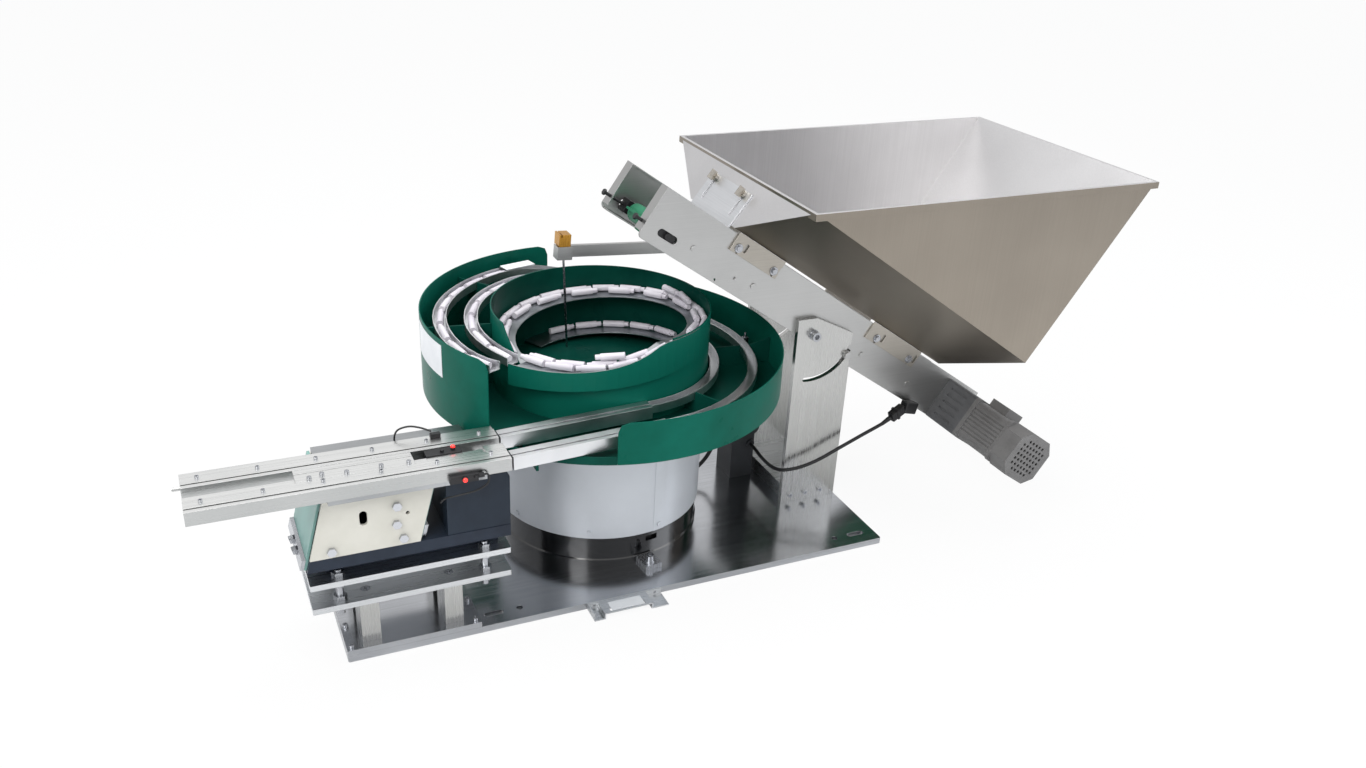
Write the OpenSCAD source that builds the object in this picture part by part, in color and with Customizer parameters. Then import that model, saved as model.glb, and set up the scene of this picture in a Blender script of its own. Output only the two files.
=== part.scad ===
/* [Base plate] */
// Length of the base plate
base_length = 1000; // [1000:10:1200]
// Depth of the base plate
base_depth = 560; // [560:10:700]
// Thickness of the base plate
base_thick = 12; // [10:1:20]
// Distance between the left and right mounting slots
slot_span = 714; // [700:2:740]
// Distance between the left and right mounting holes
hole_span = 623; // [600:1:640]
// Distance of slots and holes from the long edges
edge_margin = 29; // [24:1:36]
// Width of a mounting slot and diameter of a mounting hole
mount_hole = 11; // [9:0.5:14]
// Length of a mounting slot
mount_slot = 35; // [20:1:40]
// Distance of the mounting pattern from the middle of the base plate
mount_x = 103; // [100:1:110]

/* [Feeder stand] */
// Thickness of the plate under the posts
foot_thick = 10; // [8:1:14]
// Height of the four stand posts
stand_post_h = 73; // [60:1:90]
// Width of a stand post
stand_post_w = 30; // [24:1:36]
// Depth of a stand post
stand_post_d = 55; // [45:1:60]
// Length of the two stand plates
stand_length = 318; // [300:2:340]
// Depth of the two stand plates
stand_depth = 150; // [140:2:160]
// Thickness of a stand plate
stand_thick = 10; // [8:1:12]
// Free height between the two stand plates
stand_gap = 34; // [31:1:40]
// Diameter of a levelling stud
stud_d = 12; // [10:1:14]

/* [Linear feeder] */
// Height of the recessed spacer
spacer_h = 24; // [18:1:30]
// Height of the heavy base block
block_h = 21; // [18:1:26]
// Height of the cream side plates
side_h = 105; // [90:1:115]
// Lean of the leaf springs from upright, in degrees
spring_lean = 15; // [10:1:20]
// Thickness of a leaf spring
spring_thick = 4; // [2:0.5:5]
// Thickness of the cream side plates
side_thick = 5; // [3:0.5:8]
// Thickness of the armature bar above the side plates
feeder_top_t = 11; // [8:0.5:15]

/* [Track] */
// Length of the two rails
track_length = 470; // [420:5:500]
// Height of a rail
rail_h = 22; // [20:0.5:26]
// Width of a rail
rail_w = 48; // [42:1:52]
// Distance between the two lanes
lane_pitch = 70; // [66:0.5:70]
// Width of the sight slot above a lane
sight_slot = 3; // [2:0.5:6]
// Distance between the cover strip screws
rail_screw_pitch = 84; // [70:1:90]

/* [Plugs] */
// Diameter of a plug
plug_d = 12; // [8:0.5:12]
// Length of a plug
plug_l = 50; // [35:1:50]
// Gap between plugs that follow each other
plug_gap = 2; // [1:0.5:6]

/* [Bowl drive] */
// Radius of the cast drive base
drive_r = 191; // [180:1:191]
// Height of the cast drive base
drive_h = 60; // [50:1:66]
// Height of the sheet skirt
skirt_h = 218; // [200:1:224]
// Gap between the skirt and the pan
pan_gap = 7; // [5:0.5:12]
// Thickness of the skirt sheet
skirt_t = 2; // [1.5:0.25:3]

/* [Bowl] */
// Outer radius of the inner bowl
bowl_r = 197; // [192:0.5:198]
// Height of the inner bowl wall above the pan
bowl_h = 141; // [134:1:150]
// Thickness of the bowl sheet
bowl_t = 2.5; // [2:0.25:3]
// Inner radius of the spiral track at its top
ledge_r = 156; // [150:1:165]
// Rise of the spiral track in one turn
spiral_pitch = 73; // [66:1:78]
// Radius of the right half of the return pan
pan_r = 333; // [325:1:345]
// Outer radius of the left wall
left_wall_r = 320; // [312:1:324]
// Height of the left wall
left_wall_h = 145; // [138:1:155]
// Height of the right wall
right_wall_h = 75; // [66:1:85]
// Radius of the outer lane at the right
outer_lane_r = 279.5; // [279.5:0.5:284]
// Height of the left lanes above the pan
lane_high = 122; // [116:1:128]

/* [Elevator] */
// Tilt of the elevator, in degrees
tilt = 34; // [32:0.5:36]
// Height of the tilt pivot above the base plate
pivot_h = 360; // [352:1:370]
// Distance of the tilt pivot from the middle of the base plate
pivot_x = 413.5; // [410:0.5:420]
// Length of the side plates
frame_length = 884; // [870:2:900]
// Height of the side plates
frame_h = 95; // [92:1:100]
// Outer width over the side plates
frame_w = 177; // [165:1:185]
// Thickness of the side plates
frame_t = 3; // [2:0.25:4]
// Radius of the belt rollers
roller_r = 15; // [13:0.5:16]
// Width of the belt
belt_w = 100; // [84:2:110]
// Height of the belt cleats
cleat_h = 8; // [5:0.5:9]
// Distance between belt cleats
cleat_pitch = 80; // [60:5:120]
// Thickness of the two posts
post_t = 10; // [8:0.5:12]
// Width of the two posts at the foot
post_w = 121.5; // [118:0.5:125]
// Radius of the tilt slot
arc_r = 92; // [88:1:96]

/* [Hopper] */
// Width of the hopper over its rims
hopper_w = 522; // [480:2:560]
// Length of the hopper rim
hopper_l = 718; // [700:2:740]
// Height of the hopper rim above the base plate
hopper_rim_h = 653; // [645:1:665]
// Thickness of the hopper sheet
hopper_t = 2; // [1.5:0.25:3]
// Width of the folded rim
rim_w = 4; // [3:0.5:8]

/* [Drive motor] */
// Side of the square gear head
gear_w = 90; // [80:1:92]
// Length of the gear head
gear_l = 90; // [70:1:100]
// Length of the motor behind the gear head
motor_l = 108; // [90:1:130]
// Length of the fan cover
fan_l = 45; // [36:1:60]

/* [Hidden] */
$fn = 64;
eps = 0.01;
// Clearance between a screw and its hole, and between sliding faces
fit = 0.3;

// Heights of the stack under the linear feeder
foot_top = base_thick + foot_thick;
lower_z = foot_top + stand_post_h;
upper_z = lower_z + stand_thick + stand_gap;
spacer_z = upper_z + stand_thick;
block_z = spacer_z + spacer_h;
block_top = block_z + block_h;
feeder_top_z = block_top + side_h + 1;
rail_z = feeder_top_z + feeder_top_t;
track_z = rail_z + rail_h;
stand_x0 = -544;
stand_y0 = -268;
foot_x0 = -base_length / 2;
foot_len = 218;
foot_depth = 172;
foot_y0 = -base_depth / 2;
post_xs = [-473, -338.5];
stand_post_ys = [stand_y0 + 3, stand_y0 + stand_depth - 3 - stand_post_d];
stud_xs = [-499, -266];
stud_ys = [stand_y0 + 18, stand_y0 + stand_depth - 18];
lock_nut_h = 8;

// Linear feeder, seen from the front
feeder_y0 = stand_y0;
feeder_y1 = stand_y0 + stand_depth;
block_x1 = -226;
side_x0 = -540;
side_len = 168;
lean = tan(spring_lean);

// Track, lane and plug sizes
groove = plug_d + 1;
strip_t = 3;
rail_lip = 8;
track_x1 = -231;
track_x0 = track_x1 - track_length;
groove_off = rail_lip - 1.5;
exit_w = 25;
exit_groove = groove_off + groove / 2;
lane_floor = plug_d + 3;

// Bowl and drive
bowl_x = 29;
bowl_y = 5;
skirt_r = drive_r + skirt_t + fit;
skirt_z = base_thick + drive_h;
pan_z = skirt_z + skirt_h + pan_gap;
pan_t = 3;
floor_z = pan_z + pan_t;
bowl_top = floor_z + bowl_h;
left_cut = [89, 215];
right_cut = [-106, 92];
wall_t = 2;
lane_z = floor_z + lane_high;
lane_low_z = track_z + 5;
exit_turn = 2.5;
inner_lane_r = outer_lane_r - lane_pitch;
lane_start = 205;
spiral_end = lane_start + 1.5;
spiral_peak_u = 285;
spiral_peak_z = bowl_top - 20;
spiral_drop = 22;
spiral_low_z = bowl_top - 56;
spiral_start = spiral_peak_u + (spiral_peak_z - floor_z - 9) / spiral_pitch * 360;
wall_cut_u = 280;
wall_end_a = 190;
low_wall_h = bowl_h - 60;
lane_first_z = spiral_low_z + 2 + lane_floor;
ledge_t = 2;

rail_ys = [for (r = [outer_lane_r, inner_lane_r]) exit_end_y(r) - exit_groove];

// Elevator frame: s runs down the belt, n away from it
frame_y = -4;
frame_s0 = -424;
frame_n0 = -17;
shaft_n = 9;
head_s = -374;
tail_s = 413;
shaft_r = 8;
belt_t = 2;
pivot_z = base_thick + pivot_h;
web_y = frame_w / 2 - frame_t;
post_y = frame_w / 2 + 0.2;
post_left = 35.2;
bed_s = [-345, 372];
bed_n = shaft_n + roller_r - 0.3;
bed_t = 3;
bed_screws = [-318, -170, 133, 278];
arc_a = [-62, 11];
slot_half = 4.6;
clamp_n = 1.4;
bracket_s = [[-258, -142], [113, 257]];
bracket_n0 = 47;

// Hopper corners in the elevator's own plane: rim, outlet and nose
rim_x0 = pivot_x - 122.7;
rim_z = base_thick + hopper_rim_h;
outlet_n = 83;
outlet_s = [-272, 315];
outlet_w = 180;

// Motor
motor_y0 = frame_y - frame_w / 2;
gear_n = shaft_n + 18;

// Cord routes
motor_cable_d = 7;
motor_cable_path = [[366, 14, 88], [366, -6, 86], [364, -40, 84], [364, -80, 86], [372, -108, 92],
    [400, -122, 100], [440, -124, 110], [488, -125, 130], [540, -124, 150], [585, -122, 166],
    [612, -118, 178]];
drive_cable_d = 8;
drive_cable_path = [[223.5, 30, 40], [240, 32, 40], [262, 38, 44], [285, 46, 60], [303, 52, 86],
    [312, 54, 104], [318, 54, 108], [325.5, 54, 108]];
sensor_cable_d = 3;
back_cable_path = [[-331, -196, 345], [-345, -189, 350], [-362, -182, 352], [-378, -176, 346],
    [-384, -173, 334], [-384, -171.5, 318]];
front_cable_path = [[-276.6, -305, 317], [-272, -305, 316.5], [-269, -305, 310], [-273, -304, 298],
    [-290, -298, 286], [-318, -290, 278], [-332, -282, 272], [-339, -276, 262]];

// ---------- shared shapes ----------

module block(x, y, z) {
    translate([x[0], y[0], z[0]]) cube([x[1] - x[0], y[1] - y[0], z[1] - z[0]]);
}

module rounded_plate(x, y, t, r) {
    linear_extrude(t) translate([r, r]) offset_square(x - 2 * r, y - 2 * r, r);
}

// A square grown by r with round corners, drawn with exact circles
module offset_square(x, y, r) {
    translate([-r, 0]) square([x + 2 * r, y]);
    translate([0, -r]) square([x, y + 2 * r]);
    for (i = [0, x], j = [0, y]) translate([i, j]) circle(r);
}

module slot2d(length, width) {
    for (e = [-1, 1]) translate([e * (length - width) / 2, 0]) circle(width / 2);
    square([length - width, width], center = true);
}

module hexagon(af, h) {
    cylinder(r = af / sqrt(3), h = h, $fn = 6);
}

// Socket head cap screw, head up from z = 0 and shank down
module cap_screw(d, l) {
    difference() {
        cylinder(d = 1.5 * d, h = 0.9 * d);
        translate([0, 0, 0.4 * d]) hexagon(0.8 * d, d);
    }
    translate([0, 0, -l]) cylinder(d = d, h = l + eps);
}

module hex_bolt(d, l) {
    hexagon(1.6 * d, 0.65 * d);
    translate([0, 0, -l]) cylinder(d = d, h = l + eps);
}

module nut(d, h) {
    difference() {
        hexagon(1.55 * d, h);
        translate([0, 0, -1]) cylinder(d = d + 2 * fit, h = h + 2);
    }
}

// Part of an upright round wall between two polar angles
module arc_wall(r_out, t, z0, h, a0, a1) {
    translate([0, 0, z0]) rotate([0, 0, a0])
        rotate_extrude(angle = a1 - a0) translate([r_out - t, 0]) square([t, h]);
}

module on_bowl() {
    translate([bowl_x, bowl_y, 0]) children();
}

module on_elevator() {
    translate([pivot_x, frame_y, pivot_z]) rotate([0, tilt, 0]) children();
}

// Turns a drawing in (s, n) into a plate that is t thick from y = y0 upwards
module side_sheet(y0, t) {
    translate([0, y0 + t, 0]) rotate([90, 0, 0]) linear_extrude(t) children();
}

// A drill along y through the elevator plates
module cross_drill(s, n, d, y0, l) {
    translate([s, y0, n]) rotate([-90, 0, 0]) cylinder(d = d, h = l);
}

// Places children at the seat of a screw on a face that looks along +y or -y
module on_side(s, n, y, side) {
    translate([s, y, n]) rotate([side > 0 ? -90 : 90, 0, 0]) children();
}

// ---------- swept shapes ----------

function smooth(t) = let (c = min(1, max(0, t))) c * c * (3 - 2 * c);

// Side faces between rings of n points each
function ring_faces(rings, n) = [for (i = [0 : rings - 2], j = [0 : n - 1]) each
    let (a = i * n + j, b = i * n + (j + 1) % n) [[a, b, b + n], [a, b + n, a + n]]];

function turned(faces) = [for (f = faces) [f[2], f[1], f[0]]];

// Sweeps one outline per ring; cap lists the triangles that close an end
module sweep(rings, cap) {
    n = len(rings[0]);
    last = (len(rings) - 1) * n;
    polyhedron(points = [for (r = rings) each r],
        faces = concat(ring_faces(len(rings), n), turned(cap),
            [for (f = cap) [f[0] + last, f[1] + last, f[2] + last]]));
}

fan_cap8 = [for (i = [1 : 6]) [0, i, i + 1]];

function unit(v) = v / norm(v);
function cord_dir(p, i) = unit(p[min(len(p) - 1, i + 1)] - p[max(0, i - 1)]);
function cord_side(d) = unit(cross(d, abs(d[2]) > 0.9 ? [0, 1, 0] : [0, 0, 1]));
function cord_ring(c, d, r) = let (a = cord_side(d), b = cross(a, d))
    [for (k = [0 : 7]) c + r * (cos(45 * k) * a + sin(45 * k) * b)];

module cord(path, d) {
    sweep([for (i = [0 : len(path) - 1]) cord_ring(path[i], cord_dir(path, i), d / 2)], fan_cap8);
}

function polar(r, a, z) = [r * cos(a), r * sin(a), z];

// ---------- base ----------

module mount_drills() {
    for (x = [-1, 1], y = [-1, 1]) translate([mount_x, y * (base_depth / 2 - edge_margin), -1]) {
        translate([x * slot_span / 2, 0, 0]) linear_extrude(base_thick + 2) slot2d(mount_slot, mount_hole);
        translate([x * hole_span / 2, 0, 0]) cylinder(d = mount_hole, h = base_thick + 2);
    }
}

function foot_screws() = [for (x = [foot_x0 + 8, foot_x0 + foot_len - 8],
    y = [foot_y0 + 9, foot_y0 + 65, foot_y0 + foot_depth - 9]) [x, y]];
clamp_angles = [-84.5, 35.5, 155.5];
function bar_screws() = [410, 470];

module base_plate() {
    color("lightsteelblue") difference() {
        translate([-base_length / 2, -base_depth / 2, 0])
            rounded_plate(base_length, base_depth, base_thick, 3);
        mount_drills();
        for (p = foot_screws()) translate([p[0], p[1], 3]) cylinder(d = 6 + 2 * fit, h = base_thick);
        on_bowl() for (a = clamp_angles) rotate([0, 0, a]) translate([drive_r + 24, 0, 2])
            cylinder(d = 10 + 2 * fit, h = base_thick);
    }
}

bracket_x = [-97, 40];
bracket_t = 2;
bracket_back = -base_depth / 2 - 3;
bracket_front = -base_depth / 2 - 38;
bracket_leg = [18, 30];

// Folded label bracket on the front edge: back strip, raised shelf on two legs, closed left end
module label_bracket() {
    shelf = [bracket_x[0] + bracket_leg[0], bracket_x[1] - bracket_leg[1]];
    color("silver") difference() {
        union() {
            block(bracket_x, [bracket_back, bracket_back + 3], [0, base_thick]);
            block(shelf, [bracket_front, bracket_back + 1], [base_thick - bracket_t, base_thick]);
            block([shelf[0], shelf[0] + bracket_t], [bracket_front, bracket_back + 1], [0, base_thick - 1]);
            block([shelf[1] - bracket_t, shelf[1]], [bracket_front, bracket_back + 1], [0, base_thick - 1]);
            block([bracket_x[0], shelf[0] + 1], [bracket_front, bracket_back + 1], [0, bracket_t]);
            block([shelf[1] - 1, bracket_x[1]], [bracket_front, bracket_back + 1], [0, bracket_t]);
            block([bracket_x[0], bracket_x[0] + 3], [bracket_front + 6, bracket_back + 1], [0, base_thick]);
        }
        for (x = [bracket_x[0] + 12, bracket_x[1] - 12]) translate([x, bracket_back + 4, base_thick / 2])
            rotate([90, 0, 0]) cylinder(d = 5, h = 6);
        block([shelf[0] + 12, shelf[1] - 12], [bracket_front + 4, bracket_front + 12], [4, base_thick + 1]);
        translate([bracket_x[0] - 1, bracket_back - 12, base_thick / 2]) rotate([0, 90, 0])
            cylinder(d = 4, h = 6);
    }
}

// ---------- feeder stand ----------

module foot_plate() {
    color("gainsboro") difference() {
        translate([foot_x0, foot_y0, base_thick]) cube([foot_len, foot_depth, foot_thick]);
        for (p = foot_screws()) translate([p[0], p[1], base_thick - 1])
            cylinder(d = 6 + 2 * fit, h = foot_thick + 2);
    }
}

function post_spots() = [for (x = post_xs, y = stand_post_ys) [x, y]];

module stand_posts() {
    color("darkgray") for (p = post_spots()) difference() {
        translate([p[0], p[1], foot_top]) cube([stand_post_w, stand_post_d, stand_post_h]);
        translate([p[0] + stand_post_w / 2, p[1] + stand_post_d / 2, lower_z - 22])
            cylinder(d = 8 + 2 * fit, h = 23);
    }
}

module stand_plate(z, studs) {
    difference() {
        translate([stand_x0, stand_y0, z]) rounded_plate(stand_length, stand_depth, stand_thick, 2);
        for (x = stud_xs, y = stud_ys) translate([x, y, z - 1])
            cylinder(d = stud_d + studs, h = stand_thick + 2);
    }
}

module stand_lower_plate() {
    color("darkgray") difference() {
        stand_plate(lower_z, 2 * fit);
        for (p = post_spots()) translate([p[0] + stand_post_w / 2, p[1] + stand_post_d / 2, lower_z - 1]) {
            cylinder(d = 8 + 2 * fit, h = stand_thick + 2);
            translate([0, 0, stand_thick - 3.5]) cylinder(d = 16, h = 6);
        }
    }
}

module stand_upper_plate() {
    color("darkgray") stand_plate(upper_z, 2 * fit);
}

// Studs with the nuts that hold the upper plate
module levelling_bolts() {
    color("silver") for (x = stud_xs, y = stud_ys) translate([x, y, 0]) {
        translate([0, 0, lower_z - 17]) cylinder(d = stud_d, h = upper_z + stand_thick + 12 - lower_z + 17);
        translate([0, 0, upper_z - lock_nut_h]) nut(stud_d, lock_nut_h);
        translate([0, 0, upper_z + stand_thick]) nut(stud_d, lock_nut_h);
    }
}

// Foot plate screws, flush post screws and the lower lock nuts
module frame_screws() {
    color("silver") {
        for (p = foot_screws()) translate([p[0], p[1], foot_top]) cap_screw(6, foot_thick + 6);
        for (p = post_spots()) translate([p[0] + stand_post_w / 2, p[1] + stand_post_d / 2,
            lower_z + stand_thick - 4.5]) difference() {
                union() {
                    cylinder(d = 15, h = 4);
                    translate([0, 0, -18]) cylinder(d = 8, h = 18.5);
                }
                translate([0, 0, 1]) hexagon(6, 5);
            }
        for (x = stud_xs, y = stud_ys) translate([x, y, lower_z + stand_thick]) nut(stud_d, lock_nut_h);
        for (x = stud_xs, y = stud_ys) translate([x, y, lower_z - lock_nut_h]) nut(stud_d, lock_nut_h);
        post_foot_screws();
    }
}

module post_foot_screws() {
    for (x = bar_screw_xs) translate([x, frame_y - post_y - post_t, bar_screw_z]) rotate([90, 0, 0])
        cap_screw(6, post_t + 8);
    for (x = bar_screw_xs) translate([x, frame_y + post_y + post_t, bar_screw_z]) rotate([-90, 0, 0])
        cap_screw(6, post_t + 8);
}

// ---------- linear feeder ----------

function lean_x(x, z) = x + (z - block_top) * lean;
boss_h = 24;

module feeder_base() {
    color("darkslategray") {
        translate([0, feeder_y1, 0]) rotate([90, 0, 0]) linear_extrude(stand_depth) polygon([
            [lean_x(side_x0, block_z), block_z], [block_x1, block_z], [block_x1, block_top],
            [side_x0, block_top]]);
        block([-515, -240], [stud_ys[0] + 12, stud_ys[1] - 12], [spacer_z, block_z]);
        translate([0, feeder_y1 - side_thick - 1, 0]) rotate([90, 0, 0])
            linear_extrude(stand_depth - 2 * side_thick - 2) polygon([
                [side_x0 + side_len - 50, block_top - eps], [side_x0 + side_len, block_top - eps],
                [lean_x(side_x0 + side_len, block_top + boss_h), block_top + boss_h],
                [side_x0 + side_len - 50, block_top + boss_h]]);
    }
}

spring_w = stand_depth - 2 * side_thick - 8;
spring_y0 = feeder_y0 + side_thick + 4;

module leaf(x, z0, z1, t, off) {
    translate([0, spring_y0 + spring_w, 0]) rotate([90, 0, 0]) linear_extrude(spring_w) polygon([
        [lean_x(x, z0) + off, z0], [lean_x(x, z0) + off + t, z0],
        [lean_x(x, z1) + off + t, z1], [lean_x(x, z1) + off, z1]]);
}

leaf_t = spring_thick / cos(spring_lean);
left_leaf_z = [block_z + 2, rail_z - 4];
right_leaf_z = [block_top + 1, feeder_top_z - 0.3];
clamp_bolt_z = block_z + 10;

module feeder_springs() {
    color("cadetblue") {
        leaf(side_x0, left_leaf_z[0], left_leaf_z[1], leaf_t, -leaf_t);
        leaf(side_x0 + side_len, right_leaf_z[0], right_leaf_z[1], leaf_t, 0);
    }
}

// Lower clamp bars and bolts, fixed to the base block
module spring_clamps() {
    color("gray") {
        leaf(side_x0, block_z + 3, block_top - 2, 6, -leaf_t - 6);
        leaf(side_x0 + side_len, block_top + 3, block_top + boss_h - 2, 6, leaf_t);
    }
    color("silver") for (m = [-1, 1]) translate([lean_x(side_x0, clamp_bolt_z) - leaf_t - 6,
        spring_y0 + spring_w / 2 + m * 16, clamp_bolt_z]) rotate([0, -90 - spring_lean, 0])
            translate([0, 0, -1]) hexagon(13, 7);
}

side_bolts = [[-405, block_top + 72], [-407, block_top + 40], [-398, block_top + 13], [-507, block_top + 12]];

module side_outline() {
    polygon([[side_x0, block_top], [side_x0 + side_len, block_top],
        [lean_x(side_x0 + side_len, block_top + side_h), block_top + side_h],
        [lean_x(side_x0, block_top + side_h), block_top + side_h]]);
}

module feeder_side_plates() {
    for (y = [feeder_y0, feeder_y1 - side_thick]) color("beige") side_sheet(y, side_thick) difference() {
        side_outline();
        translate([-456, block_top + 60]) rotate(90) slot2d(25, 12);
        translate([-389, block_top + 56]) circle(d = 6);
    }
    color("silver") for (p = side_bolts) {
        translate([p[0], feeder_y0, p[1]]) rotate([90, 0, 0]) hexagon(13, 6);
        translate([p[0], feeder_y1, p[1]]) rotate([-90, 0, 0]) hexagon(13, 6);
    }
}

cover_x0 = -328;
cover_top = block_top + side_h - 8;

module feeder_cover() {
    color("darkslateblue") difference() {
        translate([0, feeder_y1 - 1, 0]) rotate([90, 0, 0]) linear_extrude(stand_depth - 2) union() {
            translate([cover_x0, block_top]) square([block_x1 - cover_x0, cover_top - block_top - 10]);
            translate([cover_x0, block_top]) square([block_x1 - cover_x0 - 10, cover_top - block_top]);
            translate([block_x1 - 10, cover_top - 10]) circle(10);
        }
        block([cover_x0 + 3, block_x1 - 3], [feeder_y0 + 4, feeder_y1 - 4], [block_top - 1, cover_top - 12]);
    }
}

coil_y = (feeder_y0 + feeder_y1) / 2;

module feeder_coil() {
    color("dimgray") difference() {
        block([-500, -462], [coil_y - 30, coil_y + 30], [block_top, block_top + 62]);
        block([-480, -461], [coil_y - 18, coil_y + 18], [block_top + 12, block_top + 50]);
    }
    color("chocolate") block([-479.7, -464], [coil_y - 17.7, coil_y + 17.7],
        [block_top + 12.3, block_top + 49.7]);
}

// Upper clamp block, armature and the seat of the rails
module feeder_top() {
    top_x0 = lean_x(side_x0, feeder_top_z);
    top_x1 = lean_x(side_x0 + side_len, feeder_top_z);
    color("slategray") {
        block([top_x0 + 4, top_x1 + 75], [feeder_y0 - 24, feeder_y1 - 6], [feeder_top_z, rail_z]);
        translate([0, spring_y0 + spring_w, 0]) rotate([90, 0, 0]) linear_extrude(spring_w) polygon([
            [lean_x(side_x0, feeder_top_z - 26) + 0.1, feeder_top_z - 26],
            [lean_x(side_x0 + side_len, feeder_top_z - 26) - 0.1, feeder_top_z - 26],
            [lean_x(side_x0 + side_len, feeder_top_z + 1) - 0.1, feeder_top_z + 1],
            [lean_x(side_x0, feeder_top_z + 1) + 5, feeder_top_z + 1],
            [lean_x(side_x0, feeder_top_z - 1) + 0.1, feeder_top_z - 1]]);
        block([-460.5, -450], [coil_y - 24, coil_y + 24], [block_top + 10, feeder_top_z - 20]);
    }
}

// ---------- track ----------

// Rail outline in (y, z) with a groove for the plugs under a sight slot
module rail_outline(w, lip, ledge) {
    difference() {
        square([w, rail_h]);
        translate([groove_off, rail_h - strip_t - groove]) square([groove, groove + eps]);
        translate([lip, rail_h - strip_t - 1]) square([sight_slot, strip_t + 2]);
        if (ledge > 0) translate([w - ledge, rail_h - strip_t]) square([ledge + 1, strip_t + 1]);
    }
}

module along_x(x0, l) {
    translate([x0, 0, 0]) rotate([90, 0, 90]) linear_extrude(l) children();
}

rail_screw_y = rail_lip + sight_slot + 14;
rail_screw_xs = [for (i = [0 : 5]) track_x0 + 24 + i * rail_screw_pitch];
rail_ledge = 16;

module track_rails() {
    color("lightgray") for (y = rail_ys) difference() {
        translate([0, y, rail_z]) along_x(track_x0, track_length)
            rail_outline(rail_w, rail_lip, rail_ledge);
        for (x = rail_screw_xs) translate([x, y + rail_screw_y, track_z - 5])
            cylinder(d = 4 + 2 * fit, h = 6);
    }
    color("silver") translate([track_x0, rail_ys[1] + 26, rail_z + 8]) rotate([0, -90, 0])
        cylinder(d = 6, h = 12);
}

cover_gap = rail_ys[1] - rail_ys[0] - rail_w;
mid_cover_x = [-547, -372];

module track_cover() {
    color("gainsboro") {
        difference() {
            block(mid_cover_x, [rail_ys[0] + rail_w - rail_ledge + fit, rail_ys[1] - fit],
                [track_z - strip_t, track_z]);
            block([mid_cover_x[0] - 1, mid_cover_x[1] + 1],
                [rail_ys[0] + rail_w + 8, rail_ys[0] + rail_w + 9], [track_z - 1, track_z + 1]);
        }
        block([track_x1 - 32, track_x1], [rail_ys[0] + rail_w - rail_ledge + fit, rail_ys[0] + rail_w + 4],
            [track_z - strip_t, track_z]);
    }
}

mid_screws = [[-527, 6], [-508, 12], [-473, 6], [-422, 8], [-381, 6]];

module track_screws() {
    color("silver") {
        for (y = rail_ys, x = rail_screw_xs) translate([x, y + rail_screw_y, track_z]) cap_screw(4, 4.5);
        for (p = mid_screws) translate([p[0], rail_ys[0] + rail_w - rail_ledge + p[1], track_z])
            cylinder(d = 7, h = 4);
    }
}

// Fibre sensor heads: one between the rails and one below the front rail, with their clips
module lane_sensors() {
    between = [rail_ys[0] + rail_w + fit, rail_ys[1] - fit];
    color("dimgray") {
        block([-352, -296], between, [track_z - 14, track_z - 1]);
        block([-330, -286], [rail_ys[0] - 8, rail_ys[0] - fit], [rail_z - 2, rail_z + 10]);
        translate([-331, -196, track_z]) {
            block([-2, 14], [-4, 4], [0, 8]);
            translate([-2, 0, 4]) rotate([0, 90, 0]) cylinder(d = 6, h = 14);
        }
    }
    color("red") {
        translate([-308, (between[0] + between[1]) / 2, track_z - 1]) cylinder(d = 7, h = 4);
        translate([-308, rail_ys[0] - 8, rail_z + 5]) rotate([90, 0, 0]) cylinder(d = 7, h = 4);
    }
    color("silver") {
        translate([-326, between[0] + 8, track_z - 1]) cylinder(d = 6, h = 4);
        translate([-290, rail_ys[0] - 8, rail_z + 5]) rotate([90, 0, 0]) cylinder(d = 6, h = 3);
        block([-286, -277], [rail_ys[0] - 9, rail_ys[0] - 3], [rail_z + 3, rail_z + 9]);
    }
}

module sensor_cables() {
    color("black") {
        cord(back_cable_path, sensor_cable_d);
        cord(front_cable_path, sensor_cable_d);
    }
}

// ---------- bowl drive ----------

module drive_base() {
    lug_r = drive_r + 24;
    color("black") on_bowl() difference() {
        union() {
            translate([0, 0, base_thick]) rotate_extrude() polygon([[20, 0], [drive_r, 0], [drive_r, 6],
                [drive_r - 2, 8], [drive_r - 2, drive_h - 14], [drive_r, drive_h - 12], [drive_r, drive_h],
                [drive_r - 26, drive_h], [drive_r - 40, 44], [70, 40], [70, 34], [20, 34]]);
            for (a = [0, 90, 180, 270]) rotate([0, 0, a + 10]) translate([112, -30, base_thick + 30])
                cube([30, 60, 26]);
        }
        for (a = clamp_angles) rotate([0, 0, a]) translate([drive_r - 14, 4, base_thick + 33])
            cube([20, 24, 11]);
    }
}

// Hold-down clamps: a lug on the plate, hooked over the foot of the base, with its screw
module drive_clamps() {
    color("silver") on_bowl() for (a = clamp_angles) rotate([0, 0, a]) {
        difference() {
            translate([drive_r + fit, -16, base_thick]) cube([40, 32, 9]);
            translate([drive_r + 24, 0, base_thick - 1]) cylinder(d = 10 + 2 * fit, h = 12);
        }
        translate([drive_r + 24, 0, base_thick + 9]) {
            difference() {
                cylinder(d = 20, h = 2);
                translate([0, 0, -1]) cylinder(d = 10 + 2 * fit, h = 4);
            }
            translate([0, 0, 2]) cap_screw(10, 18);
        }
    }
}

// Angle, height above the skirt foot and seat of each skirt screw
seam_a = -76;
seam_t = 0.8;
skirt_screws = [[-115, 6, 0], [seam_a, 6, seam_t], [seam_a, skirt_h - 12, seam_t], [20, 6, 0], [110, 6, 0],
    [200, 6, 0]];

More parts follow.
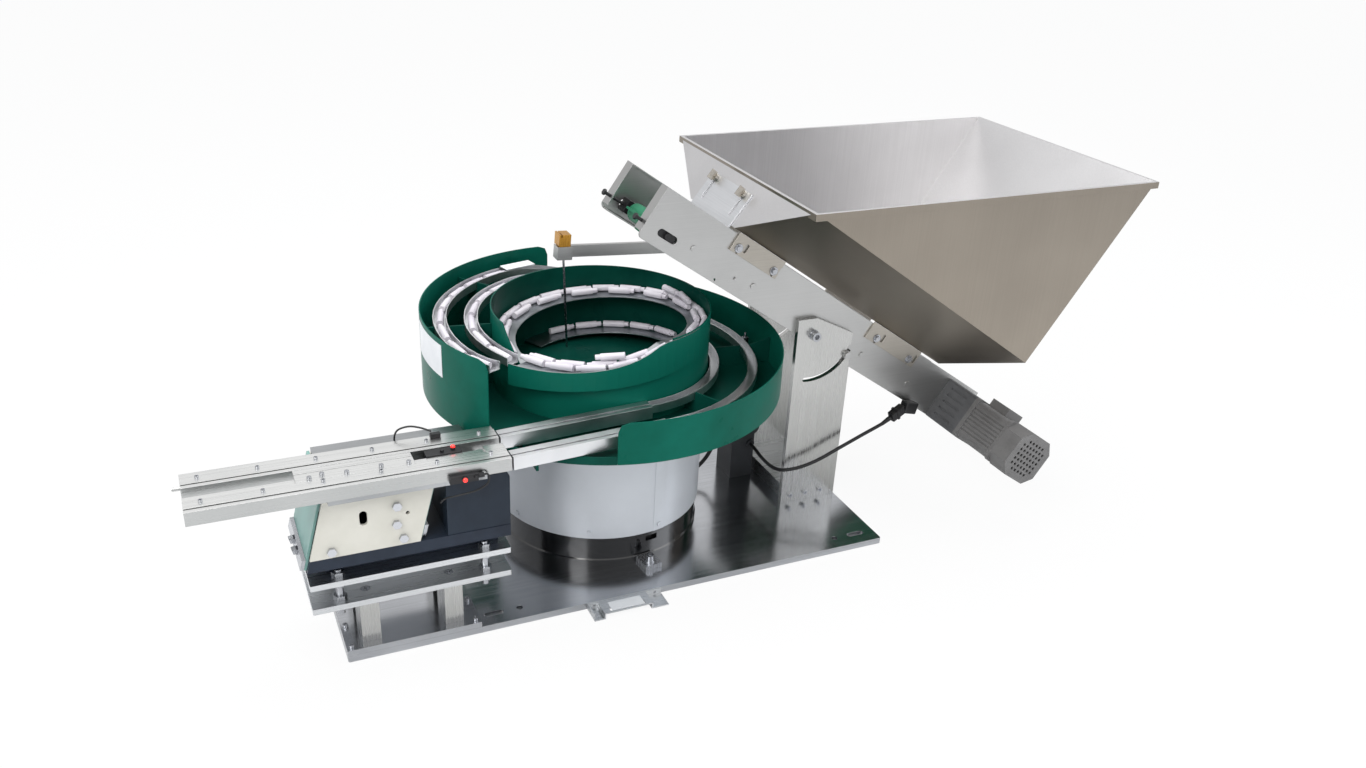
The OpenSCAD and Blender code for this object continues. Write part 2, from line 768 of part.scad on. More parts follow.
module drive_skirt() {
    color("lightsteelblue") on_bowl() translate([0, 0, skirt_z - 6]) {
        rotate_extrude() translate([drive_r + fit, 0]) square([skirt_t, skirt_h + 6]);
        rotate([0, 0, seam_a - 3.5]) rotate_extrude(angle = 7) translate([skirt_r - 1, 0])
            square([1 + seam_t, skirt_h + 6]);
    }
    color("silver") on_bowl() for (s = skirt_screws) rotate([0, 0, s[0]])
        translate([skirt_r - 1, 0, skirt_z + s[1]]) rotate([0, 90, 0]) cylinder(d = 9, h = 4 + s[2]);
}

// Four inclined spring packs between base and top casting
leaf_r = 127;
module drive_springs() {
    color("cadetblue") on_bowl() for (a = [0, 90, 180, 270]) rotate([0, 0, a + 10])
        translate([leaf_r, 0, 0]) rotate([90, 0, 90]) translate([0, 0, -3]) linear_extrude(6) polygon([
            [-30, base_thick + 56 + fit], [-2, base_thick + 56 + fit], [34, pan_z - 40 - fit],
            [6, pan_z - 40 - fit]]);
}

module drive_coil() {
    color("dimgray") on_bowl() {
        translate([-35, -30, base_thick + 34]) cube([70, 60, 70]);
        translate([-48, -22, base_thick + 50]) cube([13, 44, 54]);
        translate([35, -22, base_thick + 50]) cube([13, 44, 54]);
    }
}

module drive_top() {
    color("dimgray") on_bowl() difference() {
        union() {
            translate([0, 0, pan_z - 22]) rotate_extrude() polygon([[0, 0], [165, 0], [172, 7], [172, 22],
                [0, 22]]);
            for (a = [0, 90, 180, 270]) rotate([0, 0, a + 10]) translate([112, -10, pan_z - 40])
                cube([30, 60, 20]);
            translate([-40, -35, base_thick + 34 + 70 + 1.5]) cube([80, 70, 12]);
            translate([0, 0, base_thick + 34 + 70 + 13]) cylinder(r = 30, h = pan_z - base_thick - 138);
        }
        translate([0, 0, pan_z - 20]) cylinder(d = 12, h = 21);
    }
}

// ---------- bowl ----------

// Height of the spiral track; u is the polar angle unwound against the way the plugs travel
function spiral_z(u) = u >= spiral_peak_u ? spiral_peak_z - (u - spiral_peak_u) / 360 * spiral_pitch
    : spiral_low_z + (spiral_peak_z - spiral_low_z) * exp((u - spiral_peak_u) / spiral_drop);
function spiral_in(u) = ledge_r - 6 * max(0, u - spiral_peak_u) / 577;
function band_r(u) = bowl_r + fit + 30 * pow(max(0, 300 - u) / 95, 1.5);
function band_top(u) = u > wall_cut_u ? bowl_top - 1
    : spiral_low_z + 10 + (bowl_top - spiral_low_z - 10) * exp((u - wall_cut_u) / (spiral_drop - 2));
function band_low(u) = bowl_top - 54 - (310 - u) * 0.286;

module inner_bowl() {
    low_z = pan_z + 3 + low_wall_h;
    fall = 15;
    half = bowl_r * fall / 360 * PI;
    color("seagreen") on_bowl() difference() {
        translate([0, 0, pan_z]) rotate_extrude() polygon([[6, 0], [bowl_r, 0], [bowl_r, bowl_top - pan_z],
            [bowl_r - bowl_t, bowl_top - pan_z], [bowl_r - bowl_t, 4], [60, 9], [30, 12], [6, 12]]);
        rotate([0, 0, wall_end_a + fall]) rotate_extrude(angle = wall_cut_u + 7 - wall_end_a - fall)
            translate([bowl_r - 10, low_z]) square([20, bowl_top - low_z + 1]);
        rotate([0, 0, wall_end_a + fall / 2]) translate([bowl_r - 10, 0, 0]) rotate([90, 0, 90])
            linear_extrude(20) polygon([[half + 1, low_z], [half + 1, bowl_top + 1], [-half, bowl_top + 1],
            [-half, bowl_top], [half, low_z]]);
    }
}

spiral_steps = round((spiral_start - spiral_end) / 8);

module spiral_track() {
    wall_in = bowl_r - bowl_t - 0.2;
    color("slategray") on_bowl() {
        sweep([for (i = [0 : spiral_steps]) let (
            u = spiral_start - (spiral_start - spiral_end) * i / spiral_steps,
            z = spiral_z(u),
            r_in = spiral_in(u),
            r_out = u > wall_cut_u - 1 ? wall_in : band_r(u) + 1)
            [polar(r_in, u, z - ledge_t), polar(r_in, u, z), polar(r_out, u, z),
            polar(r_out, u, z - ledge_t)]], [[0, 1, 2], [0, 2, 3]]);
        sweep([for (i = [0 : 20]) let (u = 308 - (308 - spiral_end) * i / 20, r = band_r(u))
            [polar(r, u, band_low(u)), polar(r, u, band_top(u)), polar(r + wall_t, u, band_top(u)),
            polar(r + wall_t, u, band_low(u))]], [[0, 1, 2], [0, 2, 3]]);
    }
}

// Pan ring, smaller under the left wall, with a low lip where no wall stands
module return_pan() {
    left_r = left_wall_r - wall_t - 0.1;
    right_r = pan_r - wall_t - 0.1;
    in_r = bowl_r + 0.1;
    color("darkgreen") on_bowl() translate([0, 0, pan_z]) {
        difference() {
            rotate_extrude() translate([in_r, 0]) square([max(left_r, right_r) - in_r, pan_t]);
            if (right_r > left_r) rotate([0, 0, left_cut[0] - 0.1])
                rotate_extrude(angle = left_cut[1] - left_cut[0] + 2.1)
                    translate([left_r, -1]) square([pan_r - left_r, pan_t + 2]);
            if (left_r > right_r) rotate([0, 0, left_cut[1] + 2 - 360])
                rotate_extrude(angle = left_cut[0] - left_cut[1] + 357.9)
                    translate([right_r, -1]) square([left_wall_r - right_r, pan_t + 2]);
        }
        rotate([0, 0, left_cut[1] + 7 - 360]) rotate_extrude(angle = right_cut[0] - left_cut[1] + 352.9)
            translate([right_r - 1, 0]) square([wall_t + 1, 14]);
    }
}

// Takes the sharp top corner off the end of a round wall
module wall_corner(r, a, z, way) {
    rotate([0, 0, a]) translate([r - 12, 0, z]) rotate([90, 0, 90]) linear_extrude(24)
        polygon([[-way, -21], [way * 5, -5], [way * 22, 1], [-way, 1]]);
}

module left_wall() {
    color("seagreen") on_bowl() difference() {
        arc_wall(left_wall_r, wall_t, pan_z, left_wall_h, left_cut[0], left_cut[1]);
        wall_corner(left_wall_r, left_cut[0], pan_z + left_wall_h, 1);
        wall_corner(left_wall_r, left_cut[1], pan_z + left_wall_h, -1);
    }
}

module right_wall() {
    color("seagreen") on_bowl() difference() {
        arc_wall(pan_r, wall_t, pan_z, right_wall_h, right_cut[0], right_cut[1]);
        wall_corner(pan_r, right_cut[0], pan_z + right_wall_h, 1);
    }
}

// ---------- lanes ----------

function outer_mid(u) = u > 160 ? outer_lane_r + 6.5 - 34 * pow((u - 160) / 45, 2)
    : outer_lane_r + 6.5 * smooth((u - 20) / 95);
function inner_mid(u) = u > 170 ? inner_lane_r + 21.5 - 19 * smooth((u - 170) / 35)
    : inner_lane_r + 21.5 * smooth((u - 20) / 95);
function lane_top(u) = u > 115 ? lane_z - (lane_z - lane_first_z) * smooth((u - 155) / 50)
    : lane_low_z + (lane_z - lane_low_z) * smooth((u - 20) / 95);
function lane_width(u) = plug_d + 5 + 7 * smooth((u - 20) / 95);
lane_t = 1.5;
lane_end = exit_turn - 90;
lane_steps = 58;
lane_angles = [for (i = [0 : lane_steps]) lane_start - (lane_start - lane_end) * i / lane_steps];

function lane_ring(r, u) = let (w = lane_width(u) / 2, v = w - lane_t, z = lane_top(u), f = z - lane_floor)
    [polar(r - w, u, f), polar(r - w, u, z), polar(r - v, u, z), polar(r - v, u, f + lane_t),
    polar(r + v, u, f + lane_t), polar(r + v, u, z), polar(r + w, u, z), polar(r + w, u, f)];
lane_cap = [[0, 1, 2], [0, 2, 3], [0, 3, 4], [0, 4, 7], [4, 5, 6], [4, 6, 7]];

function exit_x(r) = bowl_x + r * sin(exit_turn);
function exit_y(r) = bowl_y - r * cos(exit_turn);
function exit_len(r) = (exit_x(r) - track_x1 - 2) / cos(exit_turn);
function exit_end_y(r) = exit_y(r) - exit_len(r) * sin(exit_turn);

// Straight rail from the round lane to the track
module exit_rail(r) {
    l = exit_len(r);
    slope = atan((lane_low_z - track_z) / l);
    translate([track_x1 + 2, exit_end_y(r), track_z]) rotate([0, -slope, exit_turn])
        translate([0, -exit_groove, -rail_h]) difference() {
            along_x(0, l) rail_outline(exit_w, rail_lip, 0);
            for (x = [36 : 75 : l - 20]) translate([x, rail_lip - 1, rail_h - strip_t - 1])
                cube([15, sight_slot + 2, strip_t + 2]);
        }
}

module inner_lane() {
    color("silver") {
        on_bowl() sweep([for (u = lane_angles) lane_ring(inner_mid(u), u)], lane_cap);
        exit_rail(inner_lane_r);
    }
}

module outer_lane() {
    color("silver") {
        on_bowl() sweep([for (u = lane_angles) lane_ring(outer_mid(u), u)], lane_cap);
        exit_rail(outer_lane_r);
    }
}

// Upright ribs between the inner bowl and the outer wall, notched for the lanes
rib_angles = [172, 128, 62, -8, -62];
rib_t = 3;

function rib_outline(u) = let (z = lane_top(u), f = z - lane_floor - 0.2, w = lane_width(u) / 2 + 0.6,
    a = inner_mid(u), b = outer_mid(u), r0 = bowl_r + fit, r1 = (u > 91 ? left_wall_r : pan_r) - wall_t - fit,
    e = u > 91 ? z : z + 12)
    concat([[r0, floor_z], [r1, floor_z], [r1, e], [b + w, z - 1], [b + w, f], [b - w, f], [b - w, z - 1],
    [a + w, z - 1], [a + w, f], [a - w > r0 + 1 ? a - w : r0, f]],
    a - w > r0 + 1 ? [[a - w, z - 1], [r0, z - 1]] : []);

module bowl_ribs() {
    color("mediumseagreen") on_bowl() for (u = rib_angles) rotate([0, 0, u]) translate([0, rib_t / 2, 0])
        rotate([90, 0, 0]) linear_extrude(rib_t) polygon(rib_outline(u));
    color("mediumseagreen") for (r = [inner_lane_r, outer_lane_r]) {
        x = track_x1 + 40;
        block([x, x + 4], [exit_end_y(r) - 9, exit_end_y(r) + 9], [floor_z, rail_z - 0.2]);
    }
}

// Bare label plate over the outer lane and small air jets on the lane edges
module lane_fittings() {
    color("white") on_bowl() rotate([0, 0, 104]) translate([outer_mid(104) - 12, -32, lane_top(112) + 0.3])
        cube([26, 64, 1.5]);
    color("silver") on_bowl() for (p = [[-2, outer_mid(-2) + lane_width(-2) / 2 + 0.2],
        [14, inner_mid(14) + lane_width(14) / 2 + 0.2]])
        rotate([0, 0, p[0]]) translate([p[1], -5, lane_top(p[0]) - 8]) {
            cube([10, 10, 10]);
            translate([5, 5, 9]) cylinder(d = 5, h = 10);
        }
}

// ---------- plugs ----------

module plug(p, q) {
    d = q - p;
    l = norm(d);
    translate(p) rotate([0, acos(d[2] / l), atan2(d[1], d[0])]) {
        cylinder(d = plug_d, h = plug_l - 9);
        cylinder(d = plug_d - 3, h = plug_l);
    }
}

function lane_spot(r, u) = polar(r, u, lane_top(u) - lane_floor + lane_t + plug_d / 2 + 0.6);
function ledge_spot(r, u, up) = polar(r, u, spiral_z(u) + plug_d / 2 + up);
function turn_of(r) = plug_l / r * 180 / PI;
function step_of(r) = (plug_l + plug_gap) / r * 180 / PI;

module workpieces() {
    color("whitesmoke") on_bowl() {
        for (u = [lane_start - 2 : -step_of(252) : 112])
            plug(lane_spot(outer_mid(u), u), lane_spot(outer_mid(u - 10), u - 10));
        for (u = [lane_start - 2 : -step_of(209) : 104])
            plug(lane_spot(inner_mid(u), u), lane_spot(inner_mid(u - 12), u - 12));
        for (u = [500 : -step_of(180) : 214])
            plug(ledge_spot(187, u, 0.9), ledge_spot(187, u - turn_of(187), 0.9));
        for (u = [545 : -1.35 * step_of(166) : 320])
            plug(ledge_spot(173, u, 0.9), ledge_spot(173, u - turn_of(173), 0.9));
        for (u = [276 : -step_of(166) : 222])
            plug(ledge_spot(173, u, 0.9), ledge_spot(173, u - turn_of(173), 0.9));
        for (u = [822 : -step_of(170) : 740])
            plug(ledge_spot(180, u, 0.9), ledge_spot(180, u - turn_of(180), 0.9));
        for (p = [[556, 184], [538, 178], [524, 186], [388, 184], [372, 178], [262, 180]])
            plug(ledge_spot(p[1], p[0], plug_d + 2.4),
                ledge_spot(p[1] - 9, p[0] - turn_of(180), plug_d + 2.4));
    }
    color("whitesmoke") for (r = [inner_lane_r, outer_lane_r]) {
        l = exit_len(r);
        slope = atan((lane_low_z - track_z) / l);
        translate([track_x1 + 2, exit_end_y(r), track_z]) rotate([0, -slope, exit_turn])
            for (x = [6 : plug_l + plug_gap + 4 : l - plug_l - 4])
                translate([x, 0, -strip_t - groove / 2 - 0.2]) rotate([0, 90, 0]) {
                    cylinder(d = plug_d, h = plug_l - 9);
                    cylinder(d = plug_d - 3, h = plug_l);
                }
    }
}

// ---------- elevator ----------

bar_screw_xs = [397, 431, 465];
bar_screw_z = base_thick + 16;
foot_bar_x = [388, 492];
foot_bar_h = 30;

module post_outline() {
    x0 = pivot_x - post_left;
    difference() {
        polygon([[x0, base_thick], [x0 + post_w, base_thick], [x0 + post_w, pivot_z - 7],
            [x0 + 40, pivot_z + 33], [x0, pivot_z + 33]]);
        translate([pivot_x, pivot_z]) circle(d = 12 + 2 * fit);
        for (x = bar_screw_xs) translate([x, bar_screw_z]) circle(d = 6 + 2 * fit);
        translate([pivot_x, pivot_z]) arc_slot();
    }
}

// Round slot about the pivot; angles are measured from the belt direction of the set tilt
module arc_slot() {
    difference() {
        circle(arc_r + slot_half);
        circle(arc_r - slot_half);
        rotate(-tilt + arc_a[1]) translate([-200, 0]) square([400, 200]);
        rotate(-tilt + arc_a[0] + 180) translate([-200, 0]) square([400, 200]);
    }
    for (a = arc_a) rotate(-tilt + a) translate([arc_r, 0]) circle(slot_half - 0.1);
}

module elevator_posts() {
    color("lightgray") for (y = [frame_y - post_y - post_t, frame_y + post_y])
        side_sheet(y, post_t) post_outline();
}

module post_foot_bar() {
    color("silver") difference() {
        block(foot_bar_x, [frame_y - post_y, frame_y + post_y], [base_thick, base_thick + foot_bar_h]);
        for (x = bar_screw_xs, s = [-1, 1]) translate([x, frame_y + s * (post_y - 9), bar_screw_z])
            rotate([s * -90, 0, 0]) cylinder(d = 6 + 2 * fit, h = 10);
    }
}

// Pivot screws of both posts
module post_bolts() {
    color("silver") for (s = [-1, 1]) translate([0, frame_y + s * (post_y + post_t), 0]) {
        translate([pivot_x, 0, pivot_z]) rotate([s * -90, 0, 0]) {
            cylinder(d = 20, h = 2);
            translate([0, 0, 2]) cap_screw(12, post_t + 12);
        }
    }
}

module frame_outline() {
    difference() {
        translate([frame_s0, frame_n0]) union() {
            translate([10, 0]) square([frame_length - 10, frame_h]);
            translate([0, 10]) square([20, frame_h - 10]);
            translate([10, 10]) circle(10);
        }
        translate([head_s, shaft_n]) slot2d(42, 14);
        translate([0, 0]) circle(d = 12 + 2 * fit);
        translate([arc_r, clamp_n]) circle(d = 8 + 2 * fit);
        for (s = bed_screws) translate([s, shaft_n + 6.5]) circle(d = 8);
        translate([-247, -11]) circle(d = 5);
        translate([-214, 10]) circle(d = 5);
        translate([tail_s, shaft_n]) circle(d = 36);
    }
}

// Two sheet side plates with a folded head end and folded long edges
module side_plates() {
    color("silver") on_elevator() for (m = [-1, 1]) {
        side_sheet(m < 0 ? -frame_w / 2 : web_y, frame_t) difference() {
            frame_outline();
            for (b = bracket_bolts, x = b) translate([x, bracket_bolt_n]) circle(d = 6 + 2 * fit);
        }
        y = m < 0 ? [-web_y - eps, -web_y + 22] : [web_y - 22, web_y + eps];
        difference() {
            block([frame_s0, frame_s0 + frame_t], y, [frame_n0 + 10, frame_n0 + frame_h]);
            translate([frame_s0 - 1, m * (web_y - 13), shaft_n]) rotate([0, 90, 0])
                cylinder(d = 6 + 2 * fit, h = 6);
        }
        yf = m < 0 ? [-web_y - eps, -web_y + 8] : [web_y - 8, web_y + eps];
        block([frame_s0 + 10, frame_s0 + frame_length], yf, [frame_n0, frame_n0 + frame_t]);
        block([frame_s0 + 10, frame_s0 + frame_length], yf,
            [frame_n0 + frame_h - frame_t, frame_n0 + frame_h]);
    }
}

module on_shaft(s) {
    translate([s, 0, shaft_n]) rotate([90, 0, 0]) children();
}

head_block_y = [web_y - 26, web_y - fit];

module head_roller() {
    color("gray") on_elevator() on_shaft(head_s) {
        cylinder(r = roller_r, h = belt_w + 6, center = true);
        cylinder(r = shaft_r, h = 2 * (web_y - 8), center = true);
    }
}

// Sliding bearing blocks of the head roller, with their tension screws
module tension_blocks() {
    color("dimgray") on_elevator() for (m = [-1, 1]) {
        difference() {
            union() {
                block([head_s - 18, head_s + 18], m > 0 ? head_block_y : [-head_block_y[1], -head_block_y[0]],
                    [shaft_n - 12, shaft_n + 12]);
                translate([head_s, m * (web_y - 1), shaft_n]) rotate([m * -90, 0, 0])
                    cylinder(d = 12, h = frame_t + 3);
            }
            translate([head_s, m * (web_y - 27), shaft_n]) rotate([m * -90, 0, 0])
                cylinder(r = shaft_r + 0.08, h = 20);
        }
        translate([frame_s0 - 12, m * (web_y - 13), shaft_n]) rotate([0, 90, 0])
            cylinder(d = 6, h = head_s - 18 - frame_s0 + 12 + eps);
        translate([frame_s0 - 16.2, m * (web_y - 13), shaft_n]) rotate([0, 90, 0]) hexagon(10, 4.5);
    }
}

module tail_roller() {
    color("gray") on_elevator() on_shaft(tail_s) {
        cylinder(r = roller_r, h = belt_w + 6, center = true);
        translate([0, 0, -web_y - frame_t - 6])
            cylinder(r = shaft_r, h = 2 * (web_y + frame_t) + 26);
    }
}

// Flange bearing on the far plate and the spacer ring behind the gear head
module tail_bearings() {
    color("darkgray") on_elevator() {
        difference() {
            translate([tail_s, frame_w / 2 + 12, shaft_n]) rotate([90, 0, 0]) union() {
                linear_extrude(12) union() {
                    square([60, 22], center = true);
                    for (x = [-30, 30]) translate([x, 0]) circle(11);
                    circle(24);
                }
            }
            cross_drill(tail_s, shaft_n, 2 * shaft_r + 0.16, frame_w / 2 - 1, 20);
        }
        for (x = [-30, 30]) on_side(tail_s + x, shaft_n, frame_w / 2 + 12, 1) hex_bolt(6, eps);
        difference() {
            cross_drill(tail_s, shaft_n, 35, -frame_w / 2 + fit, 16);
            cross_drill(tail_s, shaft_n, 2 * shaft_r + 0.16, -frame_w / 2 - 1, 20);
        }
    }
}

module belt_outline(r) {
    for (s = [head_s, tail_s]) translate([s, shaft_n]) circle(r);
    translate([head_s, shaft_n - r]) square([tail_s - head_s, 2 * r]);
}

cleats = floor((tail_s - head_s - 40) / cleat_pitch);

module cleated_belt() {
    color("seagreen") on_elevator() {
        side_sheet(-belt_w / 2, belt_w) difference() {
            belt_outline(roller_r + belt_t);
            belt_outline(roller_r + 0.08);
        }
        for (i = [0 : cleats]) {
            s = head_s + 12 + i * cleat_pitch;
            block([s, s + 4], [-belt_w / 2 + 4, belt_w / 2 - 4],
                [shaft_n + roller_r + belt_t - eps, shaft_n + roller_r + belt_t + cleat_h]);
            block([s, s + 4], [-belt_w / 2 + 4, belt_w / 2 - 4],
                [shaft_n - roller_r - belt_t - cleat_h, shaft_n - roller_r - belt_t + eps]);
        }
        translate([head_s - roller_r - belt_t - cleat_h, -belt_w / 2 + 4, shaft_n - 2])
            cube([cleat_h + eps, belt_w - 8, 4]);
    }
}

// Channel under the carrying run, screwed between the side plates
module belt_bed() {
    color("silver") on_elevator() difference() {
        union() {
            block(bed_s, [-web_y + 0.1, web_y - 0.1], [bed_n - bed_t, bed_n]);
            for (m = [-1, 1]) block(bed_s, m > 0 ? [web_y - 3.1, web_y - 0.1] : [-web_y + 0.1, -web_y + 3.1],
                [bed_n - 22, bed_n - bed_t + eps]);
        }
        for (s = bed_screws) cross_drill(s, shaft_n + 6.5, 6, -web_y - 1, 2 * web_y + 2);
        cross_drill(0, 0, 14, -web_y - 1, 2 * web_y + 2);
    }
    color("gray") on_elevator() for (s = bed_screws, m = [-1, 1])
        on_side(s, shaft_n + 6.5, m * (frame_w / 2), m) {
            cylinder(d = 11, h = 2);
            translate([0, 0, -frame_t - 3]) cylinder(d = 6 - 2 * fit, h = frame_t + 4);
        }
    color("silver") on_elevator() for (m = [-1, 1])
        on_side(arc_r, clamp_n, m * (frame_w / 2 - frame_t - 5), m) {
            hexagon(13, 5);
            cylinder(d = 8, h = frame_t + 5 + post_t + 1);
            translate([0, 0, frame_t + 5 + post_t + 0.5]) cylinder(d = 16, h = 2);
            translate([0, 0, frame_t + 7 + post_t + 0.5]) hexagon(13, 6);
        }
}

// ---------- drive motor ----------

gear_y = [-frame_w / 2 - gear_l, -frame_w / 2];

module rounded_square(w, r) {
    translate([-w / 2 + r, -w / 2 + r]) offset_square(w - 2 * r, w - 2 * r, r);
}

module along_motor(y0, l) {
    translate([tail_s, y0 + l, gear_n]) rotate([90, 0, 0]) linear_extrude(l) children();
}

module gear_head() {
    color("dimgray") on_elevator() difference() {
        union() {
            along_motor(gear_y[0], gear_l) rounded_square(gear_w, 6);
            translate([tail_s, gear_y[0] + 12, gear_n]) for (a = [45 : 90 : 315]) rotate([0, a, 0])
                translate([gear_w * 0.62, 0, 0]) rotate([90, 0, 0]) cylinder(d = 7, h = 12);
        }
        cross_drill(tail_s, shaft_n, 2 * shaft_r + 0.16, -frame_w / 2 - 21, 23);
        for (x = [-1, 1], z = [-1, 1]) cross_drill(tail_s + x * (gear_w / 2 - 9),
            gear_n + z * (gear_w / 2 - 9), 6, -frame_w / 2 - 30, 32);
        for (z = [-30, -15, 0, 15, 30]) translate([tail_s - gear_w / 2 - 1, gear_y[0] + 20, gear_n + z - 2])
            cube([3, gear_l - 40, 4]);
    }
}

motor_y = [gear_y[0] - motor_l, gear_y[0]];
shaft_hole = 12;

module motor_body() {
    color("gray") on_elevator() difference() {
        union() {
            along_motor(motor_y[0], motor_l) difference() {
                rounded_square(gear_w - 4, 14);
                for (i = [-3 : 3], a = [0, 90, 180, 270]) rotate(a) translate([gear_w / 2 - 4, i * 8 - 1.5])
                    square([4, 3]);
            }
            along_motor(motor_y[1] - 10, 10) rounded_square(gear_w, 6);
            along_motor(motor_y[0], 8) rounded_square(gear_w, 12);
            translate([tail_s - 22, motor_y[1] - 66, gear_n + gear_w / 2 - 3]) cube([44, 50, 18]);
        }
        along_motor(motor_y[0] - 1, 24) circle(d = shaft_hole + 0.16);
    }
}

module cap_outline(r, c) {
    polygon([[-r + c, -r], [r - c, -r], [r, -r + c], [r, r - c], [r - c, r], [-r + c, r], [-r, r - c],
        [-r, -r + c]]);
}

fan_y = [motor_y[0] - fan_l, motor_y[0]];

module fan_cover() {
    color("gray") on_elevator() difference() {
        along_motor(fan_y[0], fan_l) cap_outline(gear_w / 2 + 2, 20);
        along_motor(fan_y[0] + 3, fan_l) cap_outline(gear_w / 2, 19);
        for (i = [-3 : 3], j = [-3 : 3]) if (norm([i, j]) < 4)
            cross_drill(tail_s + i * 10, gear_n + j * 10, 6, fan_y[0] - 1, 6);
    }
}

module motor_fan() {
    color("black") on_elevator() {
        along_motor(fan_y[0] + 10, 22) circle(d = 26);
        along_motor(fan_y[0] + 12, fan_l - 14) circle(d = 18);
        along_motor(fan_y[0] + 32, fan_l - 32 + 20) circle(d = shaft_hole);
        for (a = [0 : 45 : 315]) translate([tail_s, fan_y[0] + 10, gear_n]) rotate([0, a, 0])
            translate([11, 0, -1]) cube([26, 20, 2]);
    }
}

// ---------- hopper ----------

rim_y = hopper_w / 2;
function s_n(s, n) = [pivot_x + s * cos(tilt) + n * sin(tilt), pivot_z - s * sin(tilt) + n * cos(tilt)];
rim_a = [rim_x0, rim_z];
rim_b = [rim_x0 + hopper_l, rim_z];
// Length of the edge from the rim to the nose, which runs parallel to the belt
nose_len = 596;
nose = rim_a + nose_len * [cos(tilt), -sin(tilt)];
out_ends = [s_n(outlet_s[0], outlet_n), s_n(outlet_s[1], outlet_n)];
hopper_profile = [rim_a, rim_b, nose, out_ends[1], out_ends[0]];
slope_n = (rim_a[0] - pivot_x) * sin(tilt) + (rim_a[1] - pivot_z) * cos(tilt);

function cross2(a, b) = a[0] * b[1] - a[1] * b[0];
function meet(p, d, q, e) = p + d * cross2(q - p, e) / cross2(d, e);
function inward(d) = [d[1], -d[0]] / norm(d);

// Moves each edge of a clockwise outline inwards by its own amount
function inset(pts, g) = [for (i = [0 : len(pts) - 1]) let (n = len(pts), h = (i + n - 1) % n,
    k = (i + 1) % n, d0 = pts[i] - pts[h], d1 = pts[k] - pts[i])
    meet(pts[i] + g[h] * inward(d0), d0, pts[i] + g[i] * inward(d1), d1)];

// The hopper's space: its side profile across the width, less the slopes beside the outlet
module hopper_space(outline, y, g) {
    dn = slope_n - outlet_n;
    dy = rim_y - outlet_w / 2;
    shift = g * norm([dn, dy]) / dy;
    difference() {
        translate([0, frame_y, 0]) side_sheet(-y, 2 * y) polygon(outline);
        for (m = [0, 1]) on_elevator() mirror([0, m, 0]) translate([-900, 0, 0]) rotate([90, 0, 90])
            linear_extrude(2000) polygon([[outlet_w / 2, outlet_n + shift - 60],
            [outlet_w / 2, outlet_n + shift], [rim_y + dy, slope_n + dn + shift],
            [rim_y + dy, outlet_n + shift - 60]]);
    }
}

module hopper() {
    t = hopper_t;
    color("silver") difference() {
        union() {
            hopper_space(hopper_profile, rim_y, 0);
            translate([rim_a[0] - rim_w, frame_y - rim_y - rim_w, rim_z - t])
                cube([hopper_l + 2 * rim_w, hopper_w + 2 * rim_w, t]);
            translate([rim_a[0] - rim_w, frame_y - rim_y - rim_w, rim_z - 12]) difference() {
                cube([hopper_l + 2 * rim_w, hopper_w + 2 * rim_w, 12]);
                translate([t, t, -1]) cube([hopper_l + 2 * rim_w - 2 * t, hopper_w + 2 * rim_w - 2 * t, 14]);
            }
        }
        hopper_space(inset(hopper_profile, [-20, t, t, -20, t]), rim_y - t, t);
    }
}

bracket_bolts = [[-243.5, -154], [138, 237]];
bracket_bolt_n = 58;
hopper_travel = 10;
hanger_t = 4;

module hopper_brackets() {
    color("darkkhaki") on_elevator() for (m = [-1, 1], i = [0, 1]) difference() {
        side_sheet(m > 0 ? frame_w / 2 + fit : -frame_w / 2 - fit - hanger_t, hanger_t)
            translate([bracket_s[i][0], bracket_n0])
                square([bracket_s[i][1] - bracket_s[i][0], outlet_n - 0.2 - bracket_n0]);
        for (s = bracket_bolts[i], o = [0, 1])
            side_sheet(m > 0 ? frame_w / 2 : -frame_w / 2 - hanger_t - 1, hanger_t + 1)
            translate([s + 14 * o, bracket_bolt_n + (o > 0 ? 6 : -hopper_travel / 2)]) rotate(90)
                slot2d(hopper_travel + 6 + 2 * fit, 6 + 2 * fit);
    }
    color("silver") on_head_face() for (y = [-1, 1]) translate([gate_bolt_x, y * gate_bolt_y, 0]) {
        cylinder(d = 6, h = gate_t + 8);
        translate([0, 0, gate_t + 2 * fit]) cylinder(d = 14, h = 5);
        translate([-9, -1.5, gate_t + 5]) cube([18, 3, 12]);
    }
}

module hopper_bolts() {
    color("silver") on_elevator() for (m = [-1, 1], i = [0, 1], s = bracket_bolts[i])
        on_side(s, bracket_bolt_n, m * (frame_w / 2 + hanger_t + 2 * fit), m) {
            cylinder(d = 16, h = 1.5);
            translate([0, 0, 1.5]) hex_bolt(6, frame_t + hanger_t + 6);
        }
}

// The gate slides on the hopper's head face
gate_w = 153;
gate_t = 3;
face_dir = (rim_a - out_ends[0]) / norm(rim_a - out_ends[0]);
face_angle = atan2(face_dir[1], face_dir[0]);
face_l = norm(rim_a - out_ends[0]);
gate_foot = 9;
gate_top = 64;
gate_slot = [12, 60];
gate_slot_w = 7;
gate_bolt_y = 55;
gate_bolt_x = gate_slot[1] - gate_slot_w / 2;

// Frame on the head face: x up the face from the outlet, z outwards
module on_head_face() {
    translate([out_ends[0][0], frame_y, out_ends[0][1]]) rotate([0, -face_angle, 0]) children();
}

module gate_plate() {
    color("whitesmoke") on_head_face() difference() {
        translate([-gate_foot, -gate_w / 2, fit]) cube([gate_foot + gate_top, gate_w, gate_t]);
        for (y = [-1, 1]) translate([(gate_slot[0] + gate_slot[1]) / 2, y * gate_bolt_y, -1])
            linear_extrude(gate_t + 3) slot2d(gate_slot[1] - gate_slot[0], gate_slot_w);
    }
}

